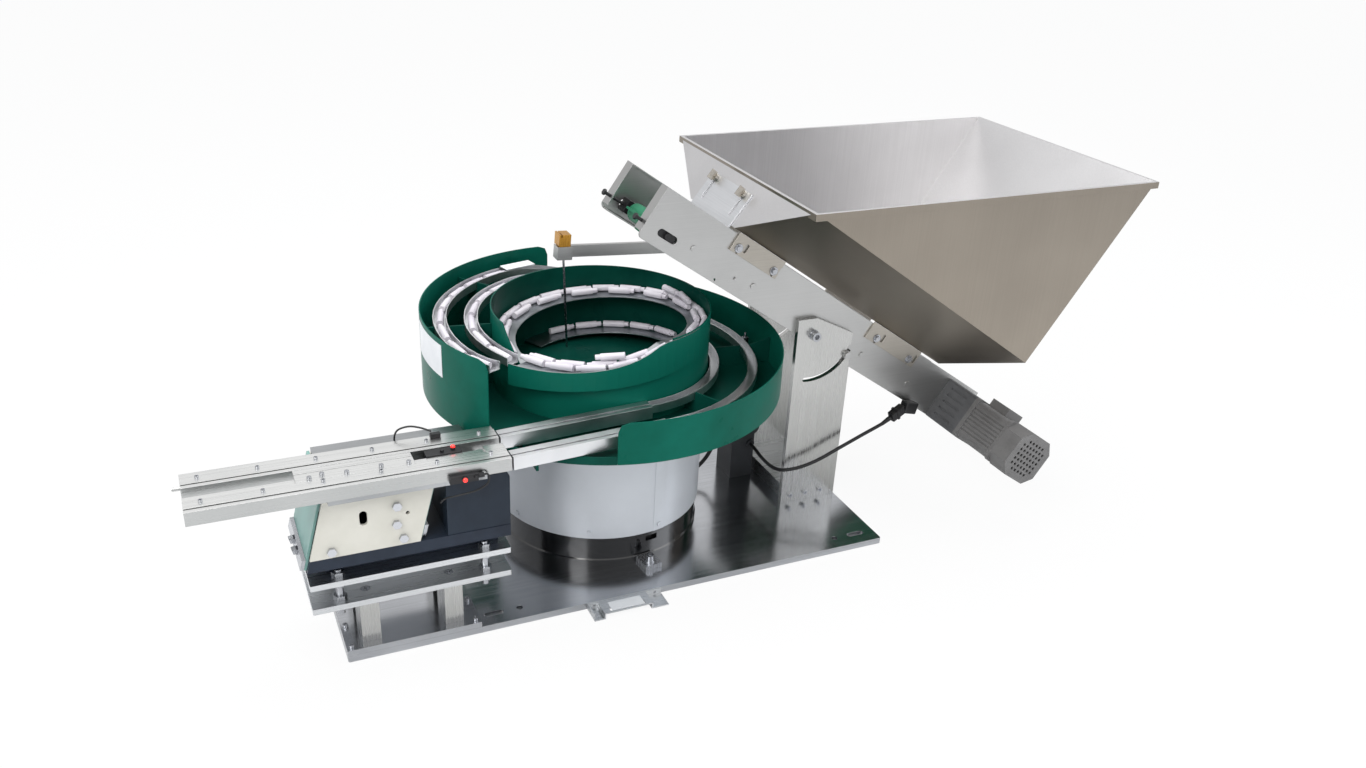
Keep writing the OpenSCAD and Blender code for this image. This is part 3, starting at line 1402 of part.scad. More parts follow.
arm_screws = [[-247, -11], [-214, 10]];
arm_angle = 30.5;
arm_h = 22;
arm_t = 8;
arm_end = 252;
arm_y = frame_w / 2 + fit;

// Frame along the arm: x runs away from its free end
module on_arm() {
    on_elevator() translate([-230.5, arm_y, -0.5]) rotate([0, -arm_angle, 0]) children();
}

module sensor_arm() {
    color("gray") {
        difference() {
            on_arm() translate([-arm_end, 0, -arm_h / 2]) cube([arm_end + 34, arm_t, arm_h]);
            on_elevator() for (p = arm_screws) cross_drill(p[0], p[1], 5 + 2 * fit, arm_y - 1, arm_t + 2);
        }
        on_arm() translate([-arm_end - 1.5, -14, -arm_h / 2]) cube([1.5, 14 + arm_t, arm_h + 2]);
        on_arm() translate([-arm_end - 1.5, -15.5, -arm_h / 2]) cube([28, 1.5, arm_h + 2]);
    }
    color("silver") on_elevator() for (p = arm_screws) on_side(p[0], p[1], arm_y + arm_t, 1)
        cap_screw(5, arm_t + frame_t);
}

rod_x = 10;
rod_y = -6;
rod_l = 206;
rod_d = 4;
rod_lean = 2.4;

module switch_block() {
    color("goldenrod") on_arm() difference() {
        translate([-arm_end + 1, -13, arm_h / 2 + 2]) cube([22, 26, 22]);
        translate([-arm_end + rod_x, rod_y, arm_h / 2 + 1]) cylinder(d = rod_d + 5, h = 14);
        translate([-arm_end + rod_x - 5.5, -14, arm_h / 2 + 18]) cube([2, 28, 8]);
    }
}

// Whisker that hangs into the bowl, on its pivot ball inside the block
module switch_rod() {
    color("dimgray") on_arm() translate([-arm_end + rod_x, rod_y, arm_h / 2 + 9]) {
        sphere(r = rod_d);
        rotate([0, 180 + arm_angle - tilt - rod_lean, 0]) cylinder(d = rod_d, h = rod_l);
    }
}

// ---------- electrics ----------

box_x = [326, 376];
box_y = [20, 82];
box_h = 222;

module control_box() {
    color("dimgray") {
        block(box_x, box_y, [base_thick, base_thick + box_h]);
        translate([box_x[1] - 12, box_y[0], 128]) rotate([90, 0, 0]) {
            cylinder(d = 38, h = 6);
            translate([0, 0, 6]) cylinder(d = 24, h = 5);
        }
    }
    color("lightgray") {
        translate([366, box_y[0], 88]) rotate([90, 0, 0]) difference() {
            cylinder(d = 16, h = 6);
            translate([0, 0, -1]) cylinder(d = motor_cable_d, h = 8);
        }
        translate([box_x[0], 54, 108]) rotate([0, -90, 0]) cylinder(d = 15, h = 0.2);
    }
}

module motor_cable() {
    color("black") cord(motor_cable_path, motor_cable_d);
}

module drive_cable() {
    color("black") cord(drive_cable_path, drive_cable_d);
}

base_plate();
label_bracket();
foot_plate();
stand_posts();
stand_lower_plate();
stand_upper_plate();
levelling_bolts();
frame_screws();
feeder_base();
feeder_springs();
spring_clamps();
feeder_side_plates();
feeder_cover();
feeder_coil();
feeder_top();
track_rails();
track_cover();
track_screws();
lane_sensors();
sensor_cables();
drive_base();
drive_clamps();
drive_skirt();
drive_springs();
drive_coil();
drive_top();
inner_bowl();
spiral_track();
return_pan();
left_wall();
right_wall();
bowl_ribs();
inner_lane();
outer_lane();
lane_fittings();
workpieces();
elevator_posts();
post_foot_bar();
post_bolts();
side_plates();
head_roller();
tension_blocks();
tail_roller();
tail_bearings();
cleated_belt();
belt_bed();
gear_head();
motor_body();
fan_cover();
motor_fan();
hopper();
hopper_brackets();
hopper_bolts();
gate_plate();
sensor_arm();
switch_block();
switch_rod();
control_box();
motor_cable();
drive_cable();
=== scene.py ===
import math
import bmesh
import bpy
from mathutils import Matrix, Vector


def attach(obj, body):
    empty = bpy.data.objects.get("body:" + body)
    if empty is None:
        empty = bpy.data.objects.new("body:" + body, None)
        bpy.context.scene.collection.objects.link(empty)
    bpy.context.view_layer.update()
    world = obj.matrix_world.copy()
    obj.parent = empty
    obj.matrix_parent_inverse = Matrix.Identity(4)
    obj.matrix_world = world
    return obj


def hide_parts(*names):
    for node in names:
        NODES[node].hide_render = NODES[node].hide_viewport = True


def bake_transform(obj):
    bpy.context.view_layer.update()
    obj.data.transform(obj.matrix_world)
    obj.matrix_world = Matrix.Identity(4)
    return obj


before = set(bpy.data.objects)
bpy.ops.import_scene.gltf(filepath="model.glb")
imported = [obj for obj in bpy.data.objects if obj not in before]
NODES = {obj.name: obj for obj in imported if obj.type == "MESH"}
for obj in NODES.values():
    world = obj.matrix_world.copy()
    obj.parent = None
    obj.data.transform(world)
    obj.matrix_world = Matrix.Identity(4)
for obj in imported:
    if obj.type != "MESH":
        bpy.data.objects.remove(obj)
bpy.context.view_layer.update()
scene = bpy.context.scene
scene.view_settings.view_transform = "Standard"

# ---------------------------------------------------------------- camera
cam_data = bpy.data.cameras.new("camera")
cam = bpy.data.objects.new("camera", cam_data)
scene.collection.objects.link(cam)
# solved from the corners of the base plate and of the hopper's rim in the photograph
CAMERA_AT = (-0.6710, -1.7896, 1.2100)
right = Vector((0.9140, -0.4033, 0.0442)).normalized()
up = Vector((0.1474, 0.4315, 0.8900)).normalized()
back = right.cross(up).normalized()
up = back.cross(right).normalized()
turn = Matrix((right, up, back)).transposed().to_4x4()
cam.matrix_world = Matrix.Translation(CAMERA_AT) @ turn
cam_data.sensor_width = 36.0
cam_data.lens = 30.38
cam_data.shift_x = 0.0116
cam_data.shift_y = 0.0197
cam_data.clip_end = 60.0
scene.camera = cam

# ---------------------------------------------------------------- named values, in metres
BOWL_X, BOWL_Y = 0.029, 0.005       # the bowl's upright axis
STEEP = 0.6                         # a normal's rise below which a face counts as upright
NOT_UP = 0.3                        # a normal's rise below which a face doesn't look up
TILT = math.radians(34.0)           # the elevator's slope at rest
BOWL_OUTSIDE = 0.1962               # radius outside which the inner bowl and its band are the plain green; inside it the inner bowl gets painted shade
FEEDER_MID_Y = -0.193               # the linear feeder's middle, and how far out its side plates start
SIDE_PLATE_OUT = 0.0752
LABEL_ABOVE_Y = 0.15                # the lane's label lies further out than this
SPLINE_STEPS = 6                    # points on a cord between two of its route's points
LABEL_STEPS = 16                    # facets along a curved label
EDGE_ROUND = 0.0007                 # radius that the shader rounds edges by

# ---------------------------------------------------------------- material helpers
def lin(code):
    """A hex colour as linear red, green, blue and alpha."""
    out = []
    for i in (1, 3, 5):
        c = int(code[i:i + 2], 16) / 255.0
        out.append(c / 12.92 if c <= 0.04045 else ((c + 0.055) / 1.055) ** 2.4)
    return (out[0], out[1], out[2], 1.0)


class Mat:
    """A procedural material in the object's own coordinates."""

    def __init__(self, name, color, metallic=0.0, rough=0.4, coat=0.0, spec=0.5):
        self.m = bpy.data.materials.new(name)
        self.m.use_nodes = True
        self.nt = self.m.node_tree
        self.b = self.nt.nodes["Principled BSDF"]
        self.color = lin(color)
        self.b.inputs["Base Color"].default_value = self.color
        self.b.inputs["Metallic"].default_value = metallic
        self.b.inputs["Roughness"].default_value = rough
        self.b.inputs["Coat Weight"].default_value = coat
        self.b.inputs["Coat Roughness"].default_value = 0.06
        self.b.inputs["Specular IOR Level"].default_value = spec
        self.m.diffuse_color = self.color
        self.coord = self.new("ShaderNodeTexCoord").outputs["Object"]

    def new(self, kind, **props):
        n = self.nt.nodes.new(kind)
        for k, v in props.items():
            setattr(n, k, v)
        return n

    def link(self, a, b):
        self.nt.links.new(a, b)

    def noise(self, scale, detail=3.0, rough=0.55, stretch=(1, 1, 1), turn=(0, 0, 0)):
        mp = self.new("ShaderNodeMapping")
        mp.inputs["Scale"].default_value = stretch
        mp.inputs["Rotation"].default_value = turn
        self.link(self.coord, mp.inputs["Vector"])
        n = self.new("ShaderNodeTexNoise")
        n.inputs["Scale"].default_value = scale
        n.inputs["Detail"].default_value = detail
        n.inputs["Roughness"].default_value = rough
        self.link(mp.outputs["Vector"], n.inputs["Vector"])
        return n.outputs["Fac"]

    def remap(self, fac, a, b, low=0.35, high=0.65):
        r = self.new("ShaderNodeMapRange")
        r.inputs["From Min"].default_value = low
        r.inputs["From Max"].default_value = high
        r.inputs["To Min"].default_value = a
        r.inputs["To Max"].default_value = b
        self.link(fac, r.inputs["Value"])
        return r.outputs["Result"]

    def tint(self, fac, c1, c2, low=0.35, high=0.65):
        """Base colour between c1 and c2 by fac."""
        mx = self.new("ShaderNodeMix", data_type="RGBA")
        mx.inputs["A"].default_value = lin(c1)
        mx.inputs["B"].default_value = lin(c2)
        self.link(self.remap(fac, 0.0, 1.0, low, high), mx.inputs["Factor"])
        self.link(mx.outputs["Result"], self.b.inputs["Base Color"])
        return mx.outputs["Result"]

    def rough(self, fac, a, b, low=0.35, high=0.65):
        self.link(self.remap(fac, a, b, low, high), self.b.inputs["Roughness"])

    def bump(self, fac, depth, strength=0.6):
        """Fine relief over edges rounded by the shader."""
        n = self.new("ShaderNodeBump")
        n.inputs["Strength"].default_value = strength
        n.inputs["Distance"].default_value = depth
        self.link(fac, n.inputs["Height"])
        e = self.new("ShaderNodeBevel", samples=4)
        e.inputs["Radius"].default_value = EDGE_ROUND
        self.link(e.outputs["Normal"], n.inputs["Normal"])
        self.link(n.outputs["Normal"], self.b.inputs["Normal"])


def brushed(name, dark, light, r0, r1, along="x", turn=(0, 0, 0), grain=1.0, depth=0.000006):
    m = Mat(name, light, metallic=1.0, rough=r0)
    long, fine = 7.0 * grain, 900.0 * grain
    stretch = {"x": (long, fine, fine), "y": (fine, long, fine), "z": (fine, fine, long)}[along]
    streak = m.noise(1.0, 3.0, 0.6, stretch, turn)
    cloud = m.noise(6.0, 3.0, 0.5)
    mix = m.new("ShaderNodeMix", data_type="FLOAT")
    mix.inputs["Factor"].default_value = 0.45
    m.link(cloud, mix.inputs["A"])
    m.link(streak, mix.inputs["B"])
    m.tint(mix.outputs["Result"], dark, light, 0.36, 0.64)
    m.rough(streak, r0, r1)
    m.bump(streak, depth, 0.35)
    return m.m


def satin(name, dark, light, rough):
    """Smooth bare steel without a grain, for bent strips and round parts."""
    m = Mat(name, light, metallic=1.0, rough=rough)
    cloud = m.noise(14.0, 3.0, 0.5)
    m.tint(cloud, dark, light)
    m.rough(cloud, rough * 0.9, rough * 1.15)
    m.bump(m.noise(90.0, 2.0, 0.5), 0.00001, 0.2)
    return m.m


def painted(name, dark, light, rough=0.3, coat=0.0, peel=0.00006, scale=260.0, metallic=0.0, spec=0.5):
    m = Mat(name, light, metallic=metallic, rough=rough, coat=coat, spec=spec)
    cloud = m.noise(9.0, 4.0, 0.6)
    fine = m.noise(scale, 2.0, 0.5)
    m.tint(cloud, dark, light)
    m.rough(cloud, rough * 0.85, rough * 1.2)
    m.bump(fine, peel, 0.4)
    return m.m


def math_node(nt, operation, a, b=None, vector=False):
    """A math node with each input a socket or a constant."""
    n = nt.nodes.new("ShaderNodeVectorMath" if vector else "ShaderNodeMath")
    n.operation = operation
    for socket, value in zip(n.inputs, (a, b)):
        if isinstance(value, bpy.types.NodeSocket):
            nt.links.new(value, socket)
        elif value is not None:
            socket.default_value = value
    return n.outputs["Value" if operation in ("LENGTH", "DOT_PRODUCT") else 0]


def mix_shader(nt, fac, a, b, out):
    """Shows shader a at fac 0 and b at fac 1."""
    mix = nt.nodes.new("ShaderNodeMixShader")
    for socket, value in zip(mix.inputs, (fac, a, b)):
        nt.links.new(value, socket)
    nt.links.new(mix.outputs[0], out.inputs["Surface"])


def axis_of(nt, vector, axis):
    """One part of a vector."""
    sep = nt.nodes.new("ShaderNodeSeparateXYZ")
    nt.links.new(vector, sep.inputs[0])
    return sep.outputs[axis]


def shade_by_normal(mat, other, edge=0.0, centre=None):
    """Paints shade onto faces by multiplying in another colour: those whose normal points lower than edge,
    or, with a centre, those that point away from it and not up."""
    nt = mat.node_tree
    b = nt.nodes["Principled BSDF"]
    had = b.inputs["Base Color"].links[0].from_socket
    tc = nt.nodes.new("ShaderNodeTexCoord")
    rise = axis_of(nt, tc.outputs["Normal"], "Z")
    if centre is None:
        fac = math_node(nt, "LESS_THAN", rise, edge)
    else:
        off = math_node(nt, "SUBTRACT", tc.outputs["Object"], centre, vector=True)
        out = math_node(nt, "DOT_PRODUCT", off, tc.outputs["Normal"], vector=True)
        fac = math_node(nt, "MULTIPLY", math_node(nt, "GREATER_THAN", out, edge),
                        math_node(nt, "LESS_THAN", rise, NOT_UP))
    mx = nt.nodes.new("ShaderNodeMix")
    mx.data_type = "RGBA"
    mx.blend_type = "MULTIPLY"
    mx.inputs["B"].default_value = lin(other)
    nt.links.new(fac, mx.inputs["Factor"])
    nt.links.new(had, mx.inputs["A"])
    nt.links.new(mx.outputs["Result"], b.inputs["Base Color"])
    return mat


HOPPER_MID = sum((Vector(c) for c in NODES["hopper"].bound_box), Vector()) / 8
polished = brushed("polished_plate", "#A9ABAF", "#C0C2C6", 0.15, 0.21, "x", grain=0.4, depth=0.000001)
ground = brushed("ground_steel", "#CACCCE", "#D8DADC", 0.26, 0.34, "x", grain=0.5, depth=0.000003)
ground_z = brushed("ground_posts", "#B4B4B2", "#C2C2C0", 0.22, 0.3, "z", grain=0.5, depth=0.000003)
dull_bar = brushed("stand_steel", "#9C9EA0", "#B2B4B6", 0.28, 0.4, "x")
zinc = brushed("zinc_screws", "#A2A4A8", "#C2C4C9", 0.2, 0.32, "z", grain=0.5)
plates = brushed("elevator_plates", "#B0B0AF", "#BCBCBB", 0.3, 0.38, "x", turn=(0, -TILT, 0), depth=0.000004)
roller_steel = brushed("roller_steel", "#86888C", "#A5A7AA", 0.16, 0.3, "y")
hopper_sheet = brushed("hopper_sheet", "#CBCACB", "#D6D5D6", 0.33, 0.39, "z", grain=0.5, depth=0.000003)
# painted shade: upright hopper faces that turn away from its middle are multiplied by a warm grey
hopper_painted_shade = shade_by_normal(hopper_sheet, "#B8AFA1", centre=HOPPER_MID)
rail_sheet = brushed("rail_steel", "#DCDDDC", "#E8E8E7", 0.26, 0.34, "x", grain=0.5, depth=0.000003)
# painted shade: rail and cover faces steeper than STEEP, or facing down, are multiplied by a darker grey
rails_painted_shade = shade_by_normal(rail_sheet, "#CCCDCD", STEEP)
bracket_steel = brushed("bracket_steel", "#A5A098", "#BBB6AD", 0.32, 0.44, "x", turn=(0, -TILT, 0))
gate_steel = brushed("gate_steel", "#CFD1D4", "#E2E3E6", 0.3, 0.4, "y")
lane_steel = satin("lane_steel", "#D2D3D5", "#E0E1E3", 0.34)
track_grey = satin("spiral_steel", "#A6ABAE", "#BCC0C3", 0.34)
green = painted("bowl_green", "#0A5648", "#0F6354", rough=0.32, spec=0.06)
green_in = painted("pan_green", "#093F36", "#0C4C41", rough=0.42, spec=0.06)
gloss_black = painted("drive_black", "#050607", "#0C0D0F", rough=0.14, coat=0.7, peel=0.00004)
navy_cast = painted("feeder_casting", "#1D2430", "#293240", rough=0.42, spec=0.25, peel=0.00022, scale=170.0)
cover_navy = painted("feeder_cover", "#1C2531", "#25303D", rough=0.36, spec=0.25, peel=0.00012, scale=210.0)
cream = painted("side_cream", "#C9C7BD", "#D5D3CA", rough=0.38, coat=0.1)
teal = painted("leaf_teal", "#6B9690", "#86B0A9", rough=0.4)
skirt = painted("skirt_sheet", "#C5C9CF", "#CBCFD5", rough=0.34, coat=0.1, metallic=0.2)
motor_paint = painted("motor_paint", "#5C5B5B", "#737272", rough=0.42, peel=0.0002, scale=190.0)
gear_paint = painted("gear_paint", "#434446", "#57585B", rough=0.4, peel=0.0002, scale=190.0)
fan_black = painted("fan_black", "#101113", "#1B1C1E", rough=0.5)
rubber = painted("belt_rubber", "#145F43", "#1E7A57", rough=0.55, peel=0.0003, scale=900.0)
white_plastic = painted("plug_white", "#CFC9D3", "#E6E2E8", rough=0.42, peel=0.00005)
gold = brushed("gold_block", "#A9762A", "#D09C46", 0.24, 0.36, "z")
black_plastic = painted("black_plastic", "#0E0E10", "#1B1B1E", rough=0.45, peel=0.00008)
box_grey = painted("box_grey", "#2A2C2F", "#3A3C40", rough=0.45, peel=0.0001)
coil_dark = painted("coil_dark", "#26282B", "#3A3C40", rough=0.5)
paper = painted("label_white", "#DADDE2", "#ECEEF1", rough=0.5, peel=0.00003)


def split_by(name, base, other, axis=None, edge=0.0, centre=0.0, radius=None, upright=False):
    """Shows `other` further than edge from centre along an axis, or further than radius from the bowl's
    axis. With upright it shows only on steep faces."""
    m = base.copy()
    m.name = name
    nt = m.node_tree
    b2 = nt.nodes.new("ShaderNodeBsdfPrincipled")
    like = other.node_tree.nodes["Principled BSDF"]
    for k in ("Metallic", "Coat Weight", "Roughness", "Specular IOR Level", "Base Color"):
        b2.inputs[k].default_value = like.inputs[k].default_value
    tc = nt.nodes.new("ShaderNodeTexCoord")
    if radius is None:
        off = math_node(nt, "SUBTRACT", axis_of(nt, tc.outputs["Object"], axis), centre)
        fac = math_node(nt, "GREATER_THAN", math_node(nt, "ABSOLUTE", off), edge)
    else:
        off = math_node(nt, "SUBTRACT", tc.outputs["Object"], (BOWL_X, BOWL_Y, 0.0), vector=True)
        flat = math_node(nt, "MULTIPLY", off, (1.0, 1.0, 0.0), vector=True)
        fac = math_node(nt, "GREATER_THAN", math_node(nt, "LENGTH", flat, vector=True), radius)
    if upright:
        slope = math_node(nt, "ABSOLUTE", axis_of(nt, tc.outputs["Normal"], "Z"))
        fac = math_node(nt, "MULTIPLY", fac, math_node(nt, "LESS_THAN", slope, STEEP))
    mix_shader(nt, fac, nt.nodes["Principled BSDF"].outputs[0], b2.outputs[0], nt.nodes["Material Output"])
    return m


cream_side = split_by("feeder_sides_mix", cream, zinc, "Y", SIDE_PLATE_OUT, FEEDER_MID_Y)
fitting_mix = split_by("lane_fittings_mix", zinc, paper, "Y", LABEL_ABOVE_Y)
# painted shade: the inner bowl inside BOWL_OUTSIDE gets this darker green for its shaded interior
green_painted_shade = painted("bowl_green_painted_shade", "#073A32", "#0A473C", rough=0.32, spec=0.06)
bowl_shade_mix = split_by("inner_bowl_shade_mix", green_painted_shade, green, radius=BOWL_OUTSIDE)
band_mix = split_by("spiral_mix", track_grey, green, radius=BOWL_OUTSIDE, upright=True)

LOOKS = {
    "base_plate": polished, "foot_plate": polished, "label_bracket": ground,
    "stand_posts": ground_z, "stand_lower_plate": ground, "stand_upper_plate": ground,
    "levelling_bolts": zinc, "frame_screws": zinc, "feeder_base": navy_cast,
    "feeder_springs": teal, "spring_clamps": zinc, "feeder_side_plates": cream_side,
    "feeder_cover": cover_navy, "feeder_coil": coil_dark, "feeder_top": dull_bar,
    "track_rails": rails_painted_shade, "track_cover": rails_painted_shade, "track_screws": zinc,
    "lane_sensors": black_plastic, "sensor_cables": black_plastic, "drive_base": gloss_black,
    "drive_clamps": zinc, "drive_skirt": skirt, "drive_springs": teal, "drive_coil": coil_dark,
    "drive_top": navy_cast, "inner_bowl": bowl_shade_mix, "spiral_track": band_mix,
    "return_pan": green_in, "left_wall": green, "right_wall": green, "bowl_ribs": green_in,
    "inner_lane": lane_steel, "outer_lane": lane_steel, "lane_fittings": fitting_mix,
    "workpieces": white_plastic, "elevator_posts": ground_z, "post_foot_bar": ground,
    "post_bolts": zinc, "side_plates": plates, "head_roller": roller_steel,
    "tension_blocks": black_plastic, "tail_roller": roller_steel, "tail_bearings": dull_bar,
    "cleated_belt": rubber, "belt_bed": plates, "gear_head": gear_paint,
    "motor_body": motor_paint, "fan_cover": motor_paint, "motor_fan": fan_black,
    "hopper": hopper_painted_shade, "hopper_brackets": bracket_steel, "hopper_bolts": zinc,
    "gate_plate": gate_steel, "sensor_arm": plates, "switch_block": gold,
    "switch_rod": roller_steel, "control_box": box_grey, "motor_cable": black_plastic,
    "drive_cable": black_plastic,
}
for name, look in LOOKS.items():
    mesh = NODES[name].data
    mesh.materials.clear()
    mesh.materials.append(look)


# ---------------------------------------------------------------- piece helpers
def add(name, mesh, look, body):
    """Shows a mesh as one more piece that rides on a body."""
    o = bpy.data.objects.new(name, mesh)
    scene.collection.objects.link(o)
    mesh.materials.append(look)
    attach(o, body)


def from_bmesh(name, bm):
    """A mesh with its faces turned outwards."""
    bmesh.ops.recalc_face_normals(bm, faces=bm.faces)
    mesh = bpy.data.meshes.new(name)
    bm.to_mesh(mesh)
    bm.free()
    return mesh


def soft_box(bm, lo, hi, r, mat=None):
    """A box with rounded edges, placed by a matrix where one is given."""
    new = bmesh.ops.create_cube(bm, size=1.0)["verts"]
    size = Vector(hi) - Vector(lo)
    mid = (Vector(hi) + Vector(lo)) / 2
    for v in new:
        v.co = Vector((v.co.x * size.x, v.co.y * size.y, v.co.z * size.z)) + mid
    edges = list({e for v in new for e in v.link_edges})
    out = bmesh.ops.bevel(bm, geom=edges, offset=r, segments=2, affect="EDGES", profile=0.5)
    if mat is not None:
        grown = {v for f in out["faces"] for v in f.verts} | {v for v in new if v.is_valid}
        grown |= {w for v in grown for f in v.link_faces for w in f.verts}
        bmesh.ops.transform(bm, matrix=mat, verts=list(grown))


def lathe(bm, profile, mat, n=32):
    """Turns (r, z) points about z and places them by a matrix."""
    rings = []
    for r, z in profile:
        turns = [2 * math.pi * k / n for k in range(n)]
        rings.append([bm.verts.new(mat @ Vector((r * math.cos(t), r * math.sin(t), z))) for t in turns])
    for a, b in zip(rings, rings[1:]):
        for k in range(n):
            bm.faces.new((a[k], a[(k + 1) % n], b[(k + 1) % n], b[k]))
    bm.faces.new(rings[0][::-1])
    bm.faces.new(rings[-1])


def cord(name, pts, d, body, node, bends=None):
    """A free cord on the route of its CAD solid, in millimetres, that goes back into the object. With bends
    given it becomes a fixed mesh that rides on no body; what bends holds is not used."""
    cu = bpy.data.curves.new(name, "CURVE")
    cu.dimensions = "3D"
    cu.bevel_depth = d / 2
    cu.bevel_resolution = 4
    cu.use_fill_caps = True
    sp = cu.splines.new("POLY")
    P = [Vector(p) / 1000 for p in pts]
    fine = []
    for i in range(len(P) - 1):
        p0, p1, p2, p3 = P[max(0, i - 1)], P[i], P[i + 1], P[min(len(P) - 1, i + 2)]
        for k in range(SPLINE_STEPS):
            t = k / SPLINE_STEPS
            fine.append(0.5 * ((2 * p1) + (p2 - p0) * t + (2 * p0 - 5 * p1 + 4 * p2 - p3) * t * t
                               + (3 * p1 - p0 - 3 * p2 + p3) * t ** 3))
    fine.append(P[-1])
    sp.points.add(len(fine) - 1)
    for q, p in zip(sp.points, fine):
        q.co = (p.x, p.y, p.z, 1.0)
    sp.use_smooth = True
    o = bpy.data.objects.new(name, cu)
    scene.collection.objects.link(o)
    if bends:
        bpy.context.view_layer.update()
        mesh = bpy.data.meshes.new_from_object(o)
        bpy.data.objects.remove(o)
        mesh.materials.clear()
        mesh.materials.append(black_plastic)
        o = bpy.data.objects.new(name, mesh)
        scene.collection.objects.link(o)
        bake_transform(o)
    else:
        cu.materials.append(black_plastic)
        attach(o, body)
    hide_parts(node)


def along(p, q):
    """Matrix that puts z along the way from p to q, at p."""
    z = (Vector(q) - Vector(p)).normalized()
    return Matrix.Translation(p) @ z.to_track_quat("Z", "Y").to_matrix().to_4x4()


# ---------------------------------------------------------------- cords
MOTOR_CABLE = [(366, 14, 88), (366, -6, 86), (364, -40, 84), (364, -80, 86), (372, -108, 92),
               (400, -122, 100), (440, -124, 110), (488, -125, 130), (540, -124, 150),
               (585, -122, 166), (612, -118, 178)]
DRIVE_CABLE = [(223.5, 30, 40), (240, 32, 40), (262, 38, 44), (285, 46, 60), (303, 52, 86), (312, 54, 104),
               (318, 54, 108), (325.5, 54, 108)]
BACK_CABLE = [(-331, -196, 345), (-345, -189, 350), (-362, -182, 352), (-378, -176, 346), (-384, -173, 334),
              (-384, -171.5, 318)]
FRONT_CABLE = [(-276.6, -305, 317), (-272, -305, 316.5), (-269, -305, 310), (-273, -304, 298),
               (-290, -298, 286), (-318, -290, 278), (-332, -282, 272), (-339, -276, 262)]
cord("motor_lead", MOTOR_CABLE, 0.007, "frame", "motor_cable",
     bends=("elevator", (0.42, -0.123, 0.104), (0.600, -0.120, 0.172)))
cord("drive_lead", DRIVE_CABLE, 0.008, "frame", "drive_cable")
for side, route in (("back", BACK_CABLE), ("front", FRONT_CABLE)):
    cord("sensor_lead_" + side, route, 0.003, "feeder_track", "sensor_cables")

# ---------------------------------------------------------------- labels, bare
def curved_label(name, r, t, a0, a1, z0, z1, body):
    """A bare label of thickness t on a wall round the bowl's axis, between two angles in degrees."""
    bm = bmesh.new()
    angles = [math.radians(a0 + (a1 - a0) * k / LABEL_STEPS) for k in range(LABEL_STEPS + 1)]

    def row(rr, z):
        return [bm.verts.new((BOWL_X + rr * math.cos(a), BOWL_Y + rr * math.sin(a), z)) for a in angles]

    inner, outer = [[row(rr, z) for z in (z0, z1)] for rr in (r, r + t)]
    for rows in (inner, outer):
        for k in range(LABEL_STEPS):
            bm.faces.new((rows[0][k], rows[0][k + 1], rows[1][k + 1], rows[1][k]))
    for k in range(LABEL_STEPS):
        for j in (0, 1):
            bm.faces.new((inner[j][k], inner[j][k + 1], outer[j][k + 1], outer[j][k]))
    for k in (0, LABEL_STEPS):
        bm.faces.new((inner[0][k], outer[0][k], outer[1][k], inner[1][k]))
    add(name, from_bmesh(name, bm), paper, body)


curved_label("wall_label", 0.3201, 0.0006, 173.0, 194.5, 0.376, 0.434, "bowl")

bm = bmesh.new()
soft_box(bm, (-0.064, -0.3140, 0.0121), (-0.004, -0.2905, 0.0129), 0.0003)
add("bracket_label", from_bmesh("bracket_label", bm), paper, "frame")

# ---------------------------------------------------------------- sensor lights
lens = Mat("red_lens", "#E01818", rough=0.2, coat=0.5)
lens.b.inputs["Emission Color"].default_value = (1.0, 0.03, 0.02, 1.0)
lens.b.inputs["Emission Strength"].default_value = 1.6
lens.rough(lens.noise(400.0), 0.15, 0.3)
bm = bmesh.new()
dome = [(0.0036, 0.0), (0.0036, 0.0012), (0.0033, 0.0022), (0.0025, 0.0030), (0.0014, 0.0035),
        (0.0003, 0.0036)]
lathe(bm, dome, Matrix.Translation((-0.308, -0.2400, 0.3360)), 20)
lathe(bm, dome, Matrix.Translation((-0.308, -0.3110, 0.3160)) @ Matrix.Rotation(math.radians(90), 4, "X"), 20)
add("sensor_lights", from_bmesh("sensor_lights", bm), lens.m, "feeder_track")

# ---------------------------------------------------------------- motor connectors
bm = bmesh.new()
PLUG_TAIL, PLUG_MID = (0.604, -0.1190, 0.1745), (0.640, -0.1110, 0.1890)
plug = along(PLUG_TAIL, PLUG_MID)
soft_box(bm, (-0.0075, -0.010, 0.0), (0.0075, 0.010, 0.034), 0.0018, plug)
soft_box(bm, (-0.0090, -0.0115, 0.012), (0.0090, 0.0115, 0.018), 0.0012, plug)
socket = along(PLUG_MID, (0.668, -0.1060, 0.1800))
soft_box(bm, (-0.0095, -0.012, -0.004), (0.0095, 0.012, 0.030), 0.0022, socket)
boot = along(PLUG_TAIL, (0.585, -0.1220, 0.166))
lathe(bm, [(0.0042, 0.0), (0.0048, 0.006), (0.0036, 0.024)], boot, 16)
add("motor_connectors", from_bmesh("motor_connectors", bm), black_plastic, "elevator")

# ---------------------------------------------------------------- floor and light
WHITE = (1.0, 1.0, 1.0, 1.0)
floor_mat = bpy.data.materials.new("floor_pale")
floor_mat.use_nodes = True
ft = floor_mat.node_tree
fb = ft.nodes["Principled BSDF"]
fb.inputs["Base Color"].default_value = (0.86, 0.86, 0.865, 1.0)
fb.inputs["Roughness"].default_value = 0.85
fb.inputs["Specular IOR Level"].default_value = 0.15
glow = ft.nodes.new("ShaderNodeEmission")
glow.inputs["Color"].default_value = WHITE
glow.inputs["Strength"].default_value = 1.0
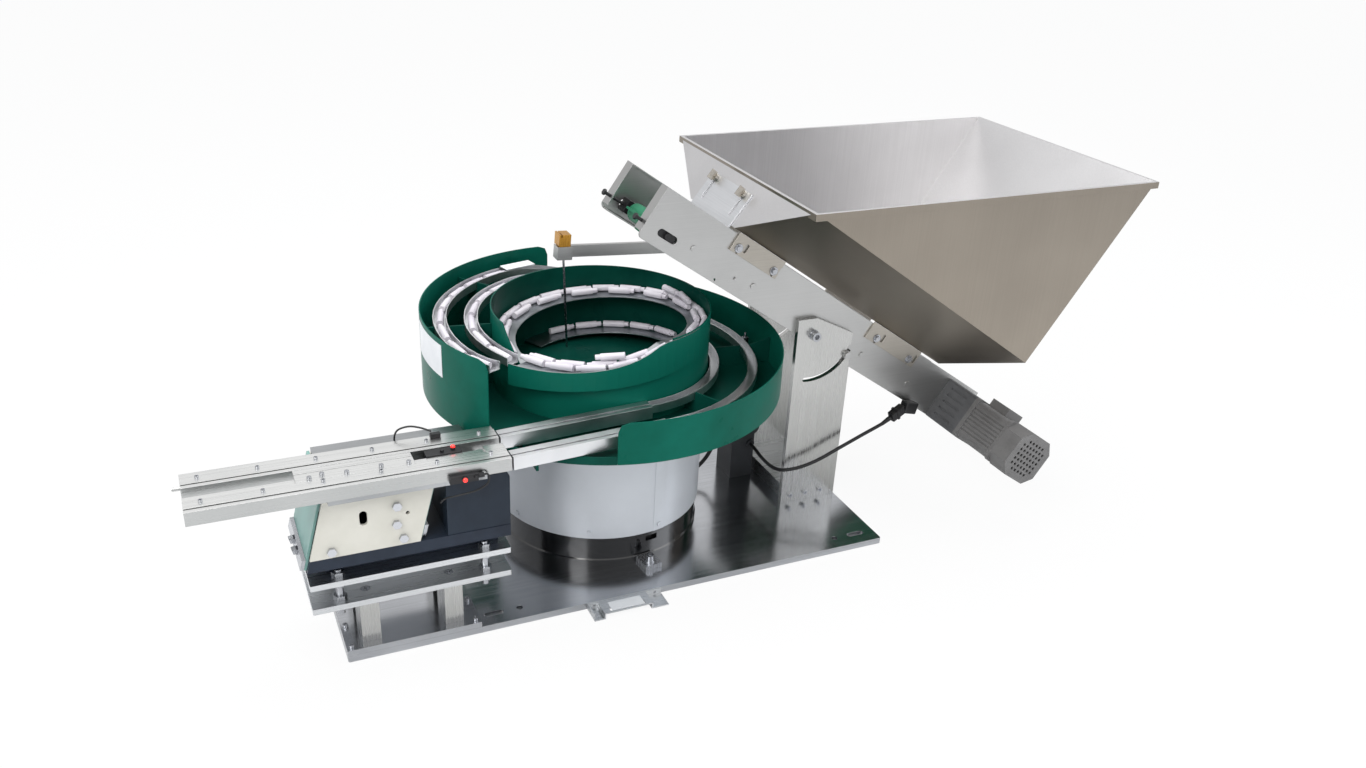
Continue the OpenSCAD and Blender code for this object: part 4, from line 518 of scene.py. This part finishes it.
# the camera sees mostly white floor with a light shadow; other rays see the plain paint
share = math_node(ft, "MULTIPLY", ft.nodes.new("ShaderNodeLightPath").outputs["Is Camera Ray"], 0.92)
mix_shader(ft, share, fb.outputs[0], glow.outputs[0], ft.nodes["Material Output"])
bm = bmesh.new()
bmesh.ops.create_grid(bm, x_segments=1, y_segments=1, size=40.0)
mesh = from_bmesh("floor", bm)
mesh.materials.append(floor_mat)
floor = bpy.data.objects.new("floor", mesh)
scene.collection.objects.link(floor)
floor.location = (0.0, 0.0, -0.0004)

# diffuse rays meet an even fill, reflections a sky that is greyer at the horizon, the camera white
world = bpy.data.worlds.new("studio")
scene.world = world
world.use_nodes = True
wt = world.node_tree
wt.nodes.clear()
paths = wt.nodes.new("ShaderNodeLightPath").outputs
fill = wt.nodes.new("ShaderNodeBackground")
fill.inputs["Color"].default_value = (0.96, 0.98, 1.0, 1.0)
fill.inputs["Strength"].default_value = 0.72
ramp = wt.nodes.new("ShaderNodeValToRGB")
low, high = ramp.color_ramp.elements
low.position, low.color = 0.0, (0.62, 0.62, 0.63, 1.0)
high.position, high.color = 0.75, WHITE
wt.links.new(axis_of(wt, wt.nodes.new("ShaderNodeTexCoord").outputs["Generated"], "Z"), ramp.inputs[0])
white = wt.nodes.new("ShaderNodeMix")
white.data_type = "RGBA"
white.inputs["B"].default_value = WHITE
wt.links.new(paths["Is Camera Ray"], white.inputs["Factor"])
wt.links.new(ramp.outputs[0], white.inputs["A"])
show = wt.nodes.new("ShaderNodeBackground")
show.inputs["Strength"].default_value = 1.0
wt.links.new(white.outputs["Result"], show.inputs["Color"])
seen = math_node(wt, "MAXIMUM", paths["Is Camera Ray"], paths["Is Glossy Ray"])
seen = math_node(wt, "MAXIMUM", seen, paths["Is Transmission Ray"])
mix_shader(wt, seen, fill.outputs[0], show.outputs[0], wt.nodes.new("ShaderNodeOutputWorld"))


def lamp(name, at, to, size, power, color=(1, 1, 1)):
    """A soft lamp of that width and height, aimed at a point."""
    d = bpy.data.lights.new(name, "AREA")
    d.shape = "RECTANGLE"
    d.size, d.size_y = size
    d.energy = power
    d.color = color
    o = bpy.data.objects.new(name, d)
    scene.collection.objects.link(o)
    o.location = at
    o.rotation_euler = (Vector(to) - Vector(at)).to_track_quat("-Z", "Y").to_euler()


lamp("key", (-2.4, -2.0, 3.0), (0, 0, 0.3), (2.4, 1.6), 75, (1.0, 0.99, 0.97))
lamp("top", (0.3, 0.6, 3.2), (0.2, 0, 0.3), (3.0, 2.0), 55)
lamp("side", (2.8, -1.8, 1.8), (0.3, 0, 0.3), (1.6, 1.6), 22, (0.97, 0.98, 1.0))
